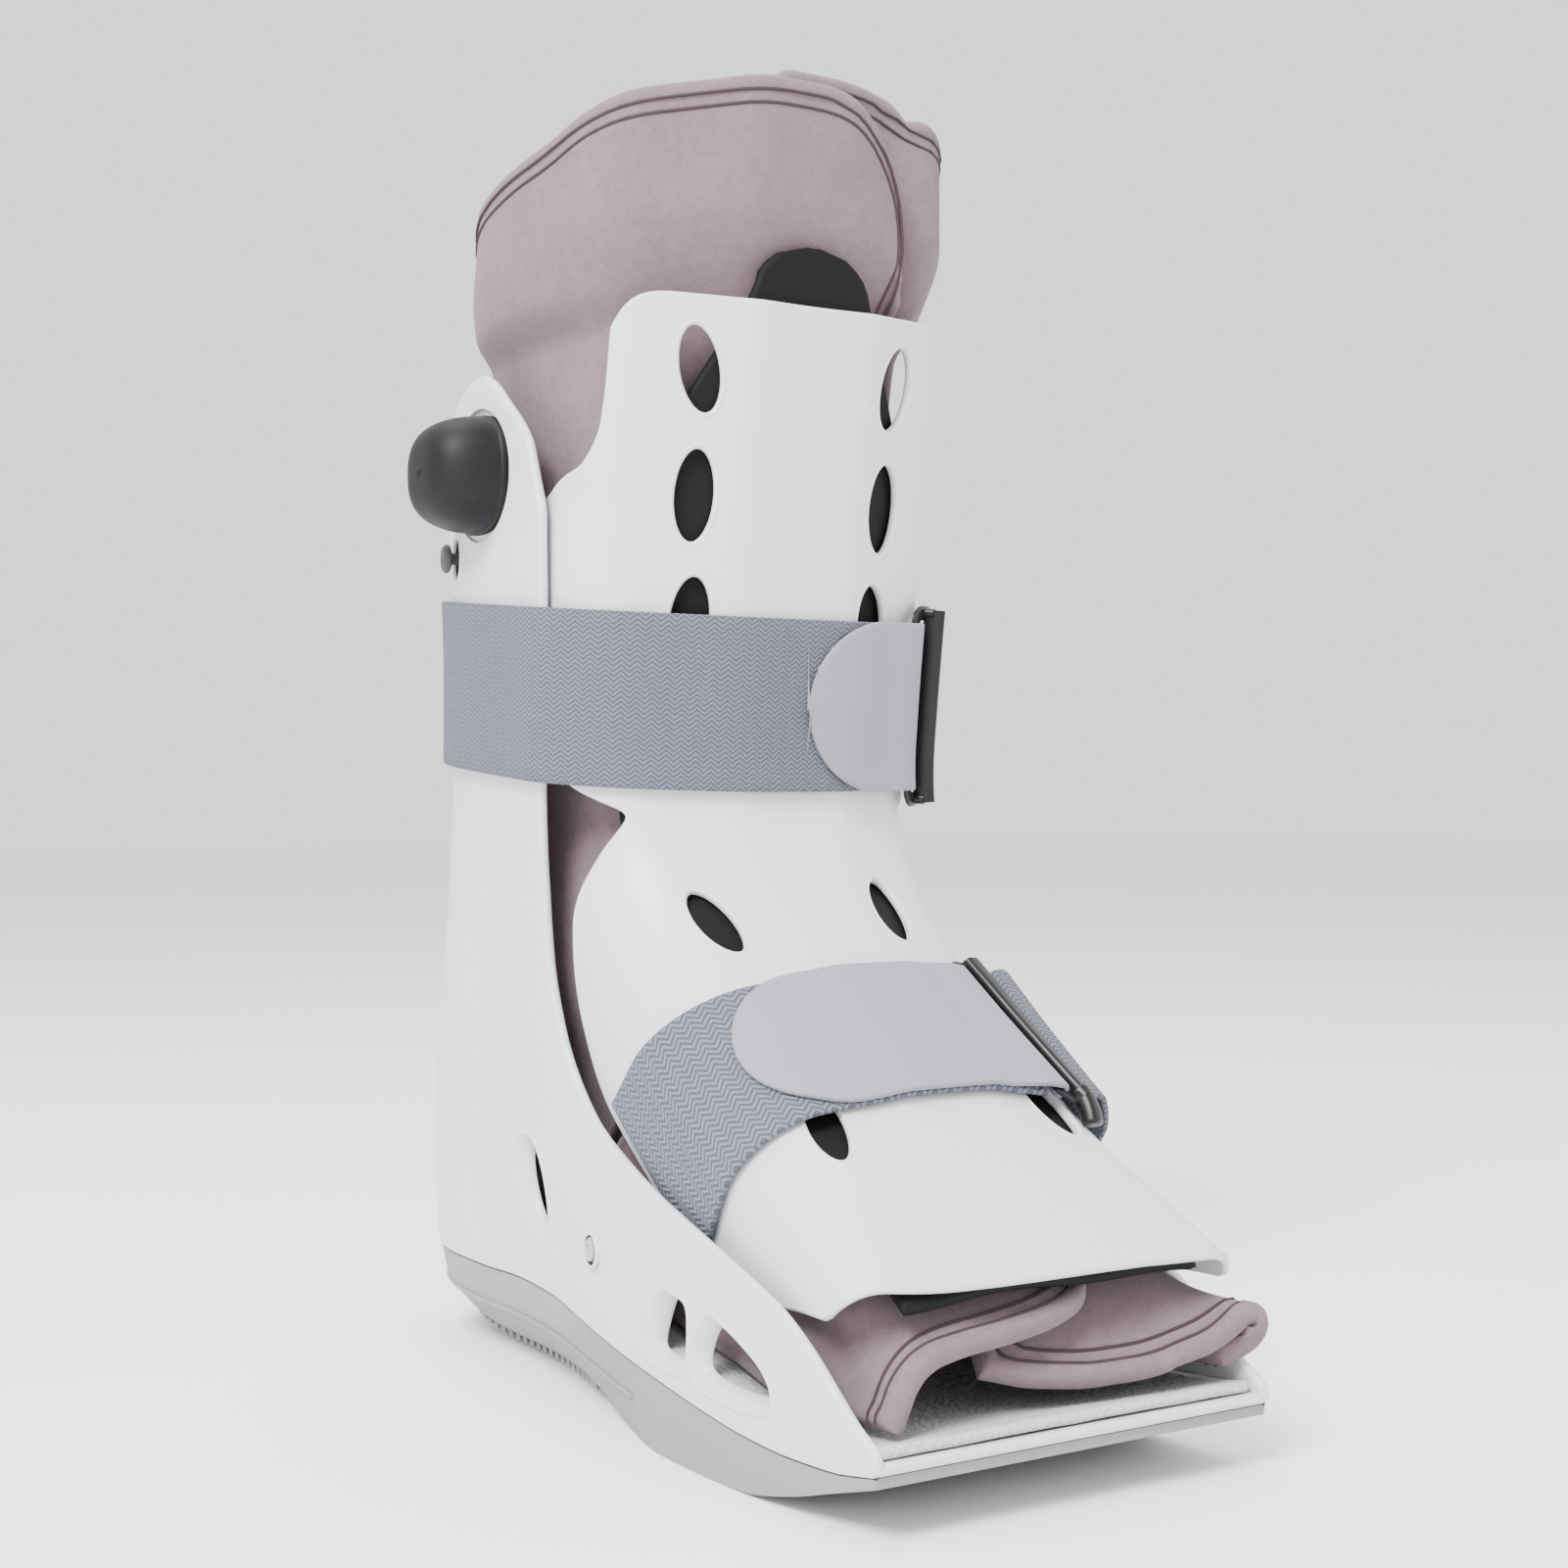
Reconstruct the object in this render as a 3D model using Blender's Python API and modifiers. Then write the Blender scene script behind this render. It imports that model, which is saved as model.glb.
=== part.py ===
"""Walking boot: a rigid rear shell on a rocker outsole, a strapped front shell and a padded liner.

Lengths are in millimetres and become metres where the points are made. X runs across the boot,
-Y points to the toe, +Z is up, and the origin lies on the ground under the leg.
"""
import math
from typing import NamedTuple

import bmesh
import bpy
import numpy as np
from mathutils import Matrix, Vector

MM = 0.001

# Driving dimensions
GAP = 0.3
REAR_WALL = 3.0
FRONT_WALL = 2.5
PAD_THICK = 4.0
LINER_WALL = 6.5
INSOLE_THICK = 3.0
WEBBING_WIDTH = 51.0
WEBBING_THICK = 1.8
RING_WIRE = 2.2
TOE_Y = -190.0
HEEL_SPINE_Y = 58.0
PUMP_HEIGHT = 20.0
PUMP_HALF = 18.5

# How far the pad lies under the front shell's outer face, and the right flap under the left one
PAD_DEPTH = FRONT_WALL + 2.9
FLAP_LAP = LINER_WALL + 1.2


class Finish(NamedTuple):
    """Colour, roughness and metallic value of one material."""

    colour: tuple
    roughness: float
    metallic: float


FINISHES = {
    "shell": Finish((0.72, 0.73, 0.76), 0.35, 0.0),
    "fleece": Finish((0.41, 0.34, 0.36), 0.95, 0.0),
    "foam": Finish((0.012, 0.012, 0.013), 0.8, 0.0),
    "rubber": Finish((0.02, 0.02, 0.022), 0.45, 0.0),
    "webbing": Finish((0.3, 0.31, 0.36), 0.85, 0.0),
    "hook_tape": Finish((0.5, 0.5, 0.55), 0.8, 0.0),
    "ring": Finish((0.015, 0.015, 0.016), 0.3, 0.0),
    "outsole": Finish((0.45, 0.44, 0.46), 0.7, 0.0),
    "loop_fabric": Finish((0.75, 0.75, 0.76), 0.9, 0.0),
    "pin": Finish((0.6, 0.6, 0.62), 0.3, 0.0),
}


class SoleRow(NamedTuple):
    """The line where the rear shell meets the outsole, and the outsole's ground face under it."""

    y: float
    seam_z: float
    ground_z: float
    inset: float


SOLE = (
    SoleRow(112, 31.8, 17.0, 3.0),
    SoleRow(100, 31.0, 10.0, 10.0),
    SoleRow(90, 30.4, 6.0, 16.0),
    SoleRow(78, 29.8, 3.0, 20.0),
    SoleRow(60, 29.3, 0.8, 22.0),
    SoleRow(45, 29.0, 0.0, 22.0),
    SoleRow(15, 30.0, 0.0, 21.0),
    SoleRow(-10, 29.5, 0.0, 18.0),
    SoleRow(-35, 26.5, 0.0, 12.0),
    SoleRow(-60, 23.5, 0.0, 5.0),
    SoleRow(-90, 20.5, 0.0, 0.5),
    SoleRow(-115, 17.5, 0.0, 0.5),
    SoleRow(-132, 15.5, 0.5, 0.5),
    SoleRow(-152, 14.5, 4.0, 0.5),
    SoleRow(-172, 15.0, 9.5, 0.5),
    SoleRow(-190, 17.5, 14.5, 0.5),
)


class RearRow(NamedTuple):
    """One level of the rear shell, measured up from the seam with the outsole."""

    rise: float
    back_y: float
    turn_y: float
    heel_half: float
    fore_half: float
    front_y: float


REAR = (
    RearRow(0, 110.0, 58, 47.0, 64.6, TOE_Y),
    RearRow(3, 110.3, 59, 47.5, 65.0, TOE_Y),
    RearRow(12, 110.0, 60, 48.0, 65.0, TOE_Y),
    RearRow(30, 108.5, 60, 49.0, 65.0, -168),
    RearRow(55, 104.0, 54, 51.5, 62.5, -125),
    RearRow(85, 92.5, 40, 56.0, 62.0, -75),
    RearRow(120, 83.0, 22, 61.0, 63.0, -48),
    RearRow(155, 77.5, 6, 65.0, 65.5, -42),
    RearRow(200, 79.0, -4, 67.0, 67.0, -42),
    RearRow(245, 83.0, -4, 67.5, 67.5, -42),
    RearRow(282, 82.0, -4, 67.5, 67.5, -40),
)


class EdgePoint(NamedTuple):
    """A point of the rear shell's trimmed edge, seen from the side."""

    y: float
    z: float


REAR_EDGE = (
    EdgePoint(-183.0, 26.0),
    EdgePoint(-174.0, 32.7),
    EdgePoint(-161.5, 42.2),
    EdgePoint(-148.5, 49.5),
    EdgePoint(-127.0, 56.6),
    EdgePoint(-103.5, 63.8),
    EdgePoint(-80.5, 71.2),
    EdgePoint(-47.5, 87.0),
    EdgePoint(-29.5, 110.0),
    EdgePoint(-23.5, 131.0),
    EdgePoint(-22.5, 155.0),
    EdgePoint(-24.5, 180.0),
    EdgePoint(-28.5, 233.0),
    EdgePoint(-28.5, 262.0),
    EdgePoint(-22.5, 280.0),
    EdgePoint(-9.5, 293.5),
    EdgePoint(8.0, 304.5),
    EdgePoint(20.0, 302.5),
    EdgePoint(36.0, 295.0),
    EdgePoint(60.0, 285.0),
    EdgePoint(90.0, 281.0),
)
LIP_Z = 22.5


class FrontRow(NamedTuple):
    """One section of the front shell, from its top edge over the instep to the toe.

    The section's plane holds the X axis and leans by tilt from level. panel is the slope of the
    panels beside the flat middle, corner the radius where they turn into the sides, and reach how
    far behind the crest the shell's own edge lies.
    """

    crest_y: float
    crest_z: float
    tilt: float
    half: float
    flat: float
    panel: float
    corner: float
    reach: float


FRONT = (
    FrontRow(-76.0, 322, 0, 63.5, 20, 22, 22, 18),
    FrontRow(-72.7, 301, 0, 63.5, 20, 22, 22, 18),
    FrontRow(-70.0, 285, 0, 63.5, 20, 22, 22, 18.5),
    FrontRow(-67.8, 272, 0, 63.2, 20, 22, 22, 30),
    FrontRow(-66.0, 261, 0, 63.0, 20, 22, 23, 52),
    FrontRow(-63.0, 236, 0, 62.8, 20, 22, 23, 58),
    FrontRow(-60.0, 205, 0, 62.0, 20, 22, 24, 52),
    FrontRow(-58.7, 187, 5, 61.0, 19, 21, 25, 28),
    FrontRow(-59.5, 176, 13, 60.0, 18, 20, 27, 11.5),
    FrontRow(-62.3, 167, 20, 59.5, 17, 19, 28, 20),
    FrontRow(-68.0, 157.5, 29, 59.0, 16, 18, 29, 39),
    FrontRow(-79.0, 146, 38, 58.5, 14, 16, 30, 55),
    FrontRow(-94.0, 132.5, 45, 58.0, 13, 14, 30, 63),
    FrontRow(-111.0, 118, 51, 57.5, 13, 13, 29, 62),
    FrontRow(-128.5, 103.5, 56, 57.5, 14, 12, 26, 58),
    FrontRow(-146.0, 89.0, 60, 58.5, 17, 11, 21, 46),
    FrontRow(-164.0, 74.5, 64, 60.5, 22, 8, 14, 27),
    FrontRow(-184.0, 59.0, 66, 62.5, 28, 4, 9, 9),
)


class LinerRow(NamedTuple):
    """One level of the liner's leg sleeve."""

    z: float
    front_y: float
    half: float
    turn_y: float
    back_y: float
    panel: float


LEG = (
    LinerRow(38, -60.0, 36.0, 56, 99.0, 16),
    LinerRow(50, -60.0, 37.0, 56, 101.5, 16),
    LinerRow(75, -60.0, 40.0, 52, 99.0, 16),
    LinerRow(100, -60.0, 44.0, 42, 91.0, 16),
    LinerRow(125, -68.0, 48.0, 30, 83.0, 16),
    LinerRow(150, -55.0, 48.0, 18, 77.0, 18),
    LinerRow(172, -48.0, 48.0, 8, 73.0, 20),
    LinerRow(205, -47.6, 50.0, 0, 72.0, 22),
    LinerRow(240, -51.6, 51.0, -4, 74.0, 22),
    LinerRow(280, -57.2, 52.0, -4, 73.0, 22),
    LinerRow(312, -62.0, 53.0, -4, 68.0, 22),
    LinerRow(340, -65.0, 62.0, -6, 61.0, 21),
    LinerRow(358, -73.0, 65.5, -8, 57.0, 20),
    LinerRow(398, -73.0, 65.0, -8, 53.0, 20),
)


class RimRow(NamedTuple):
    """Heights of the leg sleeve's rim on the two sides of the boot, from the shin to the calf."""

    y: float
    left_z: float
    right_z: float


RIM = (
    RimRow(-75, 388, 391),
    RimRow(-66, 383, 391.5),
    RimRow(-58, 379, 388),
    RimRow(-50, 375, 382),
    RimRow(-40, 371.5, 378),
    RimRow(-30, 369, 375),
    RimRow(-10, 365, 369),
    RimRow(10, 360, 362),
    RimRow(30, 353, 353),
    RimRow(58, 345, 345),
)


class Window(NamedTuple):
    """An opening through both side walls of the rear shell, by its corners in the side view."""

    name: str
    ys: tuple
    zs: tuple


WINDOWS = (
    Window("heel_window", (-11, -2, 7, 12.5, 11, 3, -7, -13), (63, 74, 77, 68, 55, 48, 49, 55)),
    Window("middle_window", (-86, -94, -101, -106, -104, -95), (30, 43.5, 45, 42, 30, 28)),
    Window("toe_window", (-112, -118, -125, -141, -145, -129), (28.5, 41, 41, 34, 27.5, 25.5)),
)


class Place(NamedTuple):
    """A place on the left wall of the rear shell, or on the boot's middle plane."""

    y: float
    z: float


PUMP_PLACE = Place(9.0, 275.5)
VALVE_PLACE = Place(30.0, 252.0)
PIN_PLACE = Place(-47.0, 49.0)
ANKLE_CREST = Place(-84.0, 134.0)
ANKLE_TILT = 45.0
VALVE_HOLE = 5.0
PIN_RADIUS = 2.6


class Vent(NamedTuple):
    """A pair of oval vents in the front shell, by the height of the crest in front of them."""

    name: str
    crest_z: float
    across: float
    shift: float
    length: float
    width: float
    lean: float


VENTS = (
    Vent("top", 300.5, 36.5, 0.0, 27.0, 13.5, -14),
    Vent("upper", 265.0, 35.5, 0.5, 28.5, 13.5, 0),
    Vent("shin", 229.0, 34.0, 0.0, 28.0, 13.5, 4),
    Vent("ankle", 147.0, 31.5, -4.0, 27.0, 12.0, -12),
    Vent("toe", 97.5, 39.0, 0.0, 28.0, 12.0, 8),
)


class PadRow(NamedTuple):
    """Half the width of the front pad at one row of the front shell's table."""

    row: float
    half: float


PAD = (
    PadRow(-0.85, 2.0),
    PadRow(-0.78, 9.0),
    PadRow(-0.6, 15.5),
    PadRow(-0.35, 20.0),
    PadRow(0.0, 23.0),
    PadRow(1.0, 35.0),
    PadRow(2.0, 44.0),
    PadRow(3.0, 50.0),
    PadRow(8.0, 54.0),
    PadRow(14.0, 50.0),
    PadRow(17.0, 54.0),
)


class SoleLevel(NamedTuple):
    """A level of the outsole's side, by its share of the height and of the foot's inset."""

    height: float
    inset: float


SOLE_LEVELS = (
    SoleLevel(1.0, 0.0),
    SoleLevel(0.62, 0.1),
    SoleLevel(0.3, 0.4),
    SoleLevel(0.1, 0.72),
    SoleLevel(0.0, 1.0),
)


class FootRow(NamedTuple):
    """One section of the foot liner, whose flaps lap over the instep."""

    crest_y: float
    crest_z: float
    tilt: float
    half: float
    floor_half: float
    panel: float
    corner: float
    lap: float


FOOT = (
    FootRow(-85.4, 123.4, 45, 48.5, 33.0, 14, 26, 16),
    FootRow(-102.0, 108.3, 51, 48.5, 42.0, 13, 26, 16),
    FootRow(-119.5, 93.8, 56, 49.0, 48.0, 12, 24, 16),
    FootRow(-137.5, 78.8, 60, 51.0, 51.0, 11, 20, 16),
    FootRow(-157.2, 63.3, 64, 53.0, 54.5, 8, 14, 14),
)


class ToePoint(NamedTuple):
    """A point of the foot liner's toe end, seen from the toe."""

    x: float
    y: float
    z: float


TOE_LEFT = (
    ToePoint(17, -173, 52.5),
    ToePoint(13, -179, 49.5),
    ToePoint(0, -183, 47.5),
    ToePoint(-22, -184, 45.5),
    ToePoint(-41, -184, 43.5),
    ToePoint(-49, -184, 39.5),
    ToePoint(-54, -184, 32.5),
    ToePoint(-56.5, -184, 26.0),
)
TOE_RIGHT = (
    ToePoint(-20, -176, 38.0),
    ToePoint(-8, -180, 35.0),
    ToePoint(10, -183, 32.5),
    ToePoint(30, -186, 32.5),
    ToePoint(48, -189, 35.5),
    ToePoint(60, -191, 39.0),
    ToePoint(66.5, -192, 37.0),
    ToePoint(66.5, -191, 31.5),
    ToePoint(56.0, -184, 26.0),
)


class FlapPoint(NamedTuple):
    """A point of a flap's outline at the shin, behind the sleeve's foremost line."""

    x: float
    rise: float


OUTER_FLAP = (
    FlapPoint(37.0, 7.5),
    FlapPoint(31.0, 5.0),
    FlapPoint(25.0, 2.6),
    FlapPoint(18.0, 0.4),
    FlapPoint(12.0, 0.0),
    FlapPoint(6.0, 0.0),
)
INNER_FLAP = (
    FlapPoint(38.0, 15.5),
    FlapPoint(28.0, 11.5),
    FlapPoint(18.0, 8.2),
    FlapPoint(8.0, 7.6),
    FlapPoint(-2.0, 7.6),
    FlapPoint(-10.0, 7.6),
)
RIGHT_START = 5
RIM_BASE = 312.0
CORNER_DROP = (18.0, 9.0, 4.0, 1.5)
FOOT_FLOOR = REAR_WALL + INSOLE_THICK + 2.5
FRONT_ROWS = 20
FRONT_STEPS = 9
SIDE_LEAN = 0.12
LINER_LEAN = -0.08
TOE_LAG = {-1: 0.6, 1: 0.1}


class StrapRow(NamedTuple):
    """Places along a strap in millimetres from its crossing of the crest, positive to the right."""

    ring: float
    far_bar: float
    tab_tip: float
    tab_half: float


UPPER_STRAP = StrapRow(62.0, 77.0, 4.0, 26.5)
LOWER_STRAP = StrapRow(50.0, 62.0, -50.0, 24.0)
LOWER_ROW_Z = 113.0
UPPER_LEVEL = 205.5
UPPER_SLOPE = 0.085
RING_HALF = 29.0
STRAP_LIFT = {"upper": 1.5, "lower": 1.05}


def smooth_curve(keys, values):
    """Return a function through the given values that never overshoots them."""
    x = np.asarray(keys, float)
    y = np.asarray(values, float)
    if x[0] > x[-1]:
        x = x[::-1]
        y = y[::-1]
    step = np.diff(x)
    slope = np.diff(y) / step
    tangent = np.zeros_like(y)
    tangent[0] = slope[0]
    tangent[-1] = slope[-1]
    for i in range(1, len(x) - 1):
        if slope[i - 1] * slope[i] > 0:
            before = 2 * step[i] + step[i - 1]
            after = step[i] + 2 * step[i - 1]
            tangent[i] = (before + after) / (before / slope[i - 1] + after / slope[i])

    def at(key):
        key = min(max(float(key), x[0]), x[-1])
        i = min(int(np.searchsorted(x, key, side="right")) - 1, len(x) - 2)
        t = (key - x[i]) / step[i]
        rise = y[i + 1] - y[i]
        a = tangent[i] * step[i] - rise
        b = rise - tangent[i + 1] * step[i]
        return float(y[i] + t * rise + t * (1 - t) * (a * (1 - t) + b * t))

    return at


def columns(rows, key):
    """Return one smooth function of the key column for each other column of a table."""
    names = rows[0]._fields
    keys = [getattr(row, key) for row in rows]
    return {name: smooth_curve(keys, [getattr(row, name) for row in rows]) for name in names}


SOLE_AT = columns(SOLE, "y")
REAR_AT = columns(REAR, "rise")
LEG_AT = columns(LEG, "z")
RIM_AT = columns(RIM, "y")


def along(rows, column):
    """Return one column of a table as a smooth function of the row number."""
    return smooth_curve(range(len(rows)), [getattr(row, column) for row in rows])


FRONT_AT = {name: along(FRONT, name) for name in FRONT[0]._fields}


def front_row_at(column, value):
    """Return the row number, with its fraction, at which a column of the front table has a value."""
    low, high = 0.0, len(FRONT) - 1.0
    falling = FRONT_AT[column](low) > FRONT_AT[column](high)
    for _ in range(40):
        middle = (low + high) / 2
        if (FRONT_AT[column](middle) > value) == falling:
            low = middle
        else:
            high = middle
    return (low + high) / 2


def finish(name):
    """Return the material of the given name, making it the first time."""
    material = bpy.data.materials.get(name)
    if material is None:
        values = FINISHES[name]
        material = bpy.data.materials.new(name)
        material.use_nodes = True
        shader = material.node_tree.nodes["Principled BSDF"]
        shader.inputs["Base Color"].default_value = (*values.colour, 1.0)
        shader.inputs["Roughness"].default_value = values.roughness
        shader.inputs["Metallic"].default_value = values.metallic
        material.diffuse_color = (*values.colour, 1.0)
    return material


def new_object(name, bm, material=None):
    """Make an object from a bmesh, in the boot's collection or, without a material, a cutter."""
    mesh = bpy.data.meshes.new(name)
    bm.to_mesh(mesh)
    bm.free()
    obj = bpy.data.objects.new(name, mesh)
    if material is None:
        CUTTERS.objects.link(obj)
        obj.hide_render = True
        obj.display_type = "WIRE"
    else:
        BOOT.objects.link(obj)
        mesh.materials.append(finish(material))
        mesh.shade_smooth()
        mesh.set_sharp_from_angle(angle=math.radians(35))
    return obj


def grid(rows, ring=False, caps=False, flip=False):
    """Return a bmesh surface through rows of points given in millimetres."""
    bm = bmesh.new()
    net = [[bm.verts.new(Vector(p) * MM) for p in row] for row in rows]
    count = len(net[0])
    for lower, upper in zip(net, net[1:]):
        for i in range(count if ring else count - 1):
            j = (i + 1) % count
            bm.faces.new((lower[i], lower[j], upper[j], upper[i]))
    if caps:
        bm.faces.new(list(reversed(net[0])))
        bm.faces.new(net[-1])
    bmesh.ops.remove_doubles(bm, verts=bm.verts, dist=0.00002)
    bmesh.ops.dissolve_degenerate(bm, edges=bm.edges, dist=0.00001)
    if flip:
        bmesh.ops.reverse_faces(bm, faces=bm.faces)
    return bm


def solid_bmesh(bm):
    """Turn the faces of a closed bmesh outwards and return it."""
    bmesh.ops.recalc_face_normals(bm, faces=bm.faces)
    return bm


def solidify(obj, thickness):
    """Give a surface a wall on the inner side of its faces."""
    modifier = obj.modifiers.new("wall", "SOLIDIFY")
    modifier.thickness = thickness * MM
    modifier.offset = -1.0
    modifier.use_even_offset = True
    modifier.use_quality_normals = True


def mirror(obj):
    """Mirror a half that is open at the middle plane."""
    modifier = obj.modifiers.new("halves", "MIRROR")
    modifier.use_axis = (True, False, False)
    modifier.merge_threshold = 0.0001
    modifier.use_clip = True


def boolean(obj, cutter, operation):
    """Cut one object by another, or keep only what lies inside it."""
    modifier = obj.modifiers.new(cutter.name, "BOOLEAN")
    modifier.operation = operation
    modifier.solver = "EXACT"
    modifier.object = cutter


def bevel(obj, width, segments=2, angle=40):
    """Round the sharp edges of an object."""
    modifier = obj.modifiers.new("edges", "BEVEL")
    modifier.width = width * MM
    modifier.segments = segments
    modifier.limit_method = "ANGLE"
    modifier.angle_limit = math.radians(angle)


def half_outline(rise, arc_steps=6, side_steps=9):
    """Return the left half of the rear shell's outline at one level, from the heel to the front."""
    back, turn, heel, fore, front = (
        REAR_AT[name](rise) for name in ("back_y", "turn_y", "heel_half", "fore_half", "front_y")
    )
    points = []
    power = 2 / 2.35
    for i in range(arc_steps + 1):
        angle = math.radians(90 * i / arc_steps)
        x = heel * math.sin(angle) ** power
        y = turn + (back - turn) * math.cos(angle) ** power
        points.append((-x, y))
    for i in range(1, side_steps + 1):
        share = i / side_steps
        y = turn + (front - turn) * share
        t = min(1.0, share / 0.72)
        x = heel + (fore - heel) * t * t * (3 - 2 * t)
        points.append((-x, y))
    return points


def rear_points(rise, inset=0.0):
    """Return one row of the rear shell's left half, moved inwards by inset."""
    return [
        (x * (1 - inset / abs(x)) if abs(x) > inset else 0.0, y, SOLE_AT["seam_z"](y) + rise)
        for x, y in half_outline(rise)
    ]


def side_profile(name, points):
    """Make a cutter from an outline in the side view, as wide as the boot."""
    curve = bpy.data.curves.new(name, "CURVE")
    curve.dimensions = "2D"
    curve.fill_mode = "BOTH"
    curve.extrude = 120 * MM
    curve.resolution_u = 3
    spline = curve.splines.new("BEZIER")
    spline.bezier_points.add(len(points) - 1)
    spline.use_cyclic_u = True
    for knot, point in zip(spline.bezier_points, points):
        knot.co = (point[0] * MM, point[1] * MM, 0.0)
        knot.handle_left_type = "VECTOR" if point[2] else "AUTO"
        knot.handle_right_type = "VECTOR" if point[2] else "AUTO"
    source = bpy.data.objects.new(name + "_curve", curve)
    CUTTERS.objects.link(source)
    source.matrix_world = Matrix(((0, 0, 1, 0), (1, 0, 0, 0), (0, 1, 0, 0), (0, 0, 0, 1)))
    bpy.context.view_layer.update()
    mesh = bpy.data.meshes.new_from_object(source.evaluated_get(bpy.context.evaluated_depsgraph_get()))
    bm = bmesh.new()
    bm.from_mesh(mesh)
    bmesh.ops.remove_doubles(bm, verts=bm.verts, dist=0.00001)
    bmesh.ops.transform(bm, matrix=source.matrix_world, verts=bm.verts)
    bmesh.ops.recalc_face_normals(bm, faces=bm.faces)
    bpy.data.objects.remove(source)
    bpy.data.meshes.remove(mesh)
    return new_object(name, bm)


def front_frame(row):
    """Return the crest point and the direction behind the crest of one front section."""
    tilt = math.radians(FRONT_AT["tilt"](row))
    crest = Vector((0, FRONT_AT["crest_y"](row), FRONT_AT["crest_z"](row)))
    return crest, Vector((0, math.cos(tilt), -math.sin(tilt)))


def front_path(half, flat, panel, corner, inset=0.0, lean=SIDE_LEAN):
    """Return one half of a front section as (x, depth) points: middle, panel, corner and side."""
    slope = math.radians(panel)
    start_x = half - corner * (1 - math.sin(slope))
    start_q = max(0.0, start_x - flat) * math.tan(slope)
    points = [(0.0, 0.0), (flat * 0.55, 0.0), (flat, 0.15)]
    points.append((flat + (start_x - flat) * 0.5, start_q * 0.5))
    for i in range(6):
        angle = slope + (math.radians(90) - slope) * i / 5
        x = start_x + corner * (math.sin(angle) - math.sin(slope))
        q = start_q + corner * (math.cos(slope) - math.cos(angle))
        points.append((x, q))
    end_q = points[-1][1]
    for i in range(1, 6):
        q = end_q + 24.0 * i
        points.append((half - lean * (q - end_q), q))
    return offset_path(points, inset)


def offset_path(points, inset):
    """Move an open path sideways, towards its inner side."""
    moved = []
    for i, (x, q) in enumerate(points):
        before = points[max(0, i - 1)]
        after = points[min(len(points) - 1, i + 1)]
        run = (after[0] - before[0], after[1] - before[1])
        length = math.hypot(*run)
        moved.append((x - run[1] / length * inset, q + run[0] / length * inset))
    return moved


def cut_path(path, reach, steps):
    """Resample a path up to a depth, evenly along its length."""
    lengths = [0.0]
    for a, b in zip(path, path[1:]):
        lengths.append(lengths[-1] + math.dist(a, b))
    depths = [q for _, q in path]
    total = float(np.interp(reach, np.maximum.accumulate(depths), lengths))
    xs = [x for x, _ in path]
    result = []
    for i in range(steps + 1):
        s = total * i / steps
        result.append((float(np.interp(s, lengths, xs)), float(np.interp(s, lengths, depths))))
    return result


def front_values(row):
    """Return the shape values of a front section."""
    return {name: FRONT_AT[name](row) for name in ("half", "flat", "panel", "corner")}


def front_half(row, side=-1):
    """Return one half of a front section in space, from the crest to the shell's edge."""
    path = front_path(**front_values(row))
    crest, behind = front_frame(row)
    points = []
    for x, q in cut_path(path, FRONT_AT["reach"](row), FRONT_STEPS):
        points.append(crest + Vector((side * x, 0, 0)) + behind * q)
    return points


def instep_point(row, across, lift):
    """Return a point on the front shell, across millimetres from the crest along the section."""
    path = front_path(**front_values(row))
    lifted = offset_path(path, -lift)
    lengths = [0.0]
    for a, b in zip(path, path[1:]):
        lengths.append(lengths[-1] + math.dist(a, b))
    x = float(np.interp(abs(across), lengths, [p[0] for p in lifted]))
    q = float(np.interp(abs(across), lengths, [p[1] for p in lifted]))
    crest, behind = front_frame(row)
    return crest + Vector((math.copysign(x, across), 0, 0)) + behind * q


def make_rear_shell():
    """Make the rear shell: heel cup, back wall, foot tray and the two uprights, in one piece."""
    rises = [0, 3, 10, 24, 42, 66, 92, 120, 150, 180, 215, 250, 285]
    bottom = rear_points(0)
    rows = []
    for share in (0.0, 0.5, 0.93):
        row = []
        for x, y, _ in bottom:
            spine_y = min(y, HEEL_SPINE_Y)
            py = spine_y + (y - spine_y) * share
            row.append((x * share, py, SOLE_AT["seam_z"](py)))
        rows.append(row)
    rows += [rear_points(rise) for rise in rises]
    shell = new_object("rear_shell", grid(rows), "shell")
    mirror(shell)
    solidify(shell, REAR_WALL)
    outline = [(p.y, p.z, False) for p in REAR_EDGE]
    outline += [(130, 280, True), (130, -20, True), (TOE_Y - 0.5, -20, True), (TOE_Y - 0.5, LIP_Z, True)]
    boolean(shell, side_profile("rear_profile", outline), "INTERSECT")
    for window in WINDOWS:
        corners = [(y, z, False) for y, z in zip(window.ys, window.zs)]
        boolean(shell, side_profile(window.name, corners), "DIFFERENCE")
    boolean(shell, disc("pump_seat", PUMP_HALF + 1.7, 6.0, pump_frame(-1.4)), "DIFFERENCE")
    boolean(shell, disc("valve_hole", VALVE_HOLE, 12.0, valve_frame(-6.0), 1.0, 1.35), "DIFFERENCE")
    for side in (-1, 1):
        boolean(shell, disc(f"pin_hole_{side}", PIN_RADIUS + GAP, 12.0, pin_frame(side, -6.0)), "DIFFERENCE")
    return shell


def disc(name, radius, height, frame, across=1.0, along=1.0, steps=20):
    """Make a closed round cutter that stands on a frame's XY plane."""
    bm = bmesh.new()
    bmesh.ops.create_cone(bm, cap_ends=True, segments=steps, radius1=radius * MM, radius2=radius * MM,
                          depth=height * MM)
    size = Matrix.Diagonal((across, along, 1.0, 1.0))
    rise = Matrix.Translation((0, 0, height * MM / 2))
    bmesh.ops.transform(bm, matrix=frame @ size @ rise, verts=bm.verts)
    return new_object(name, bm)


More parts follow.
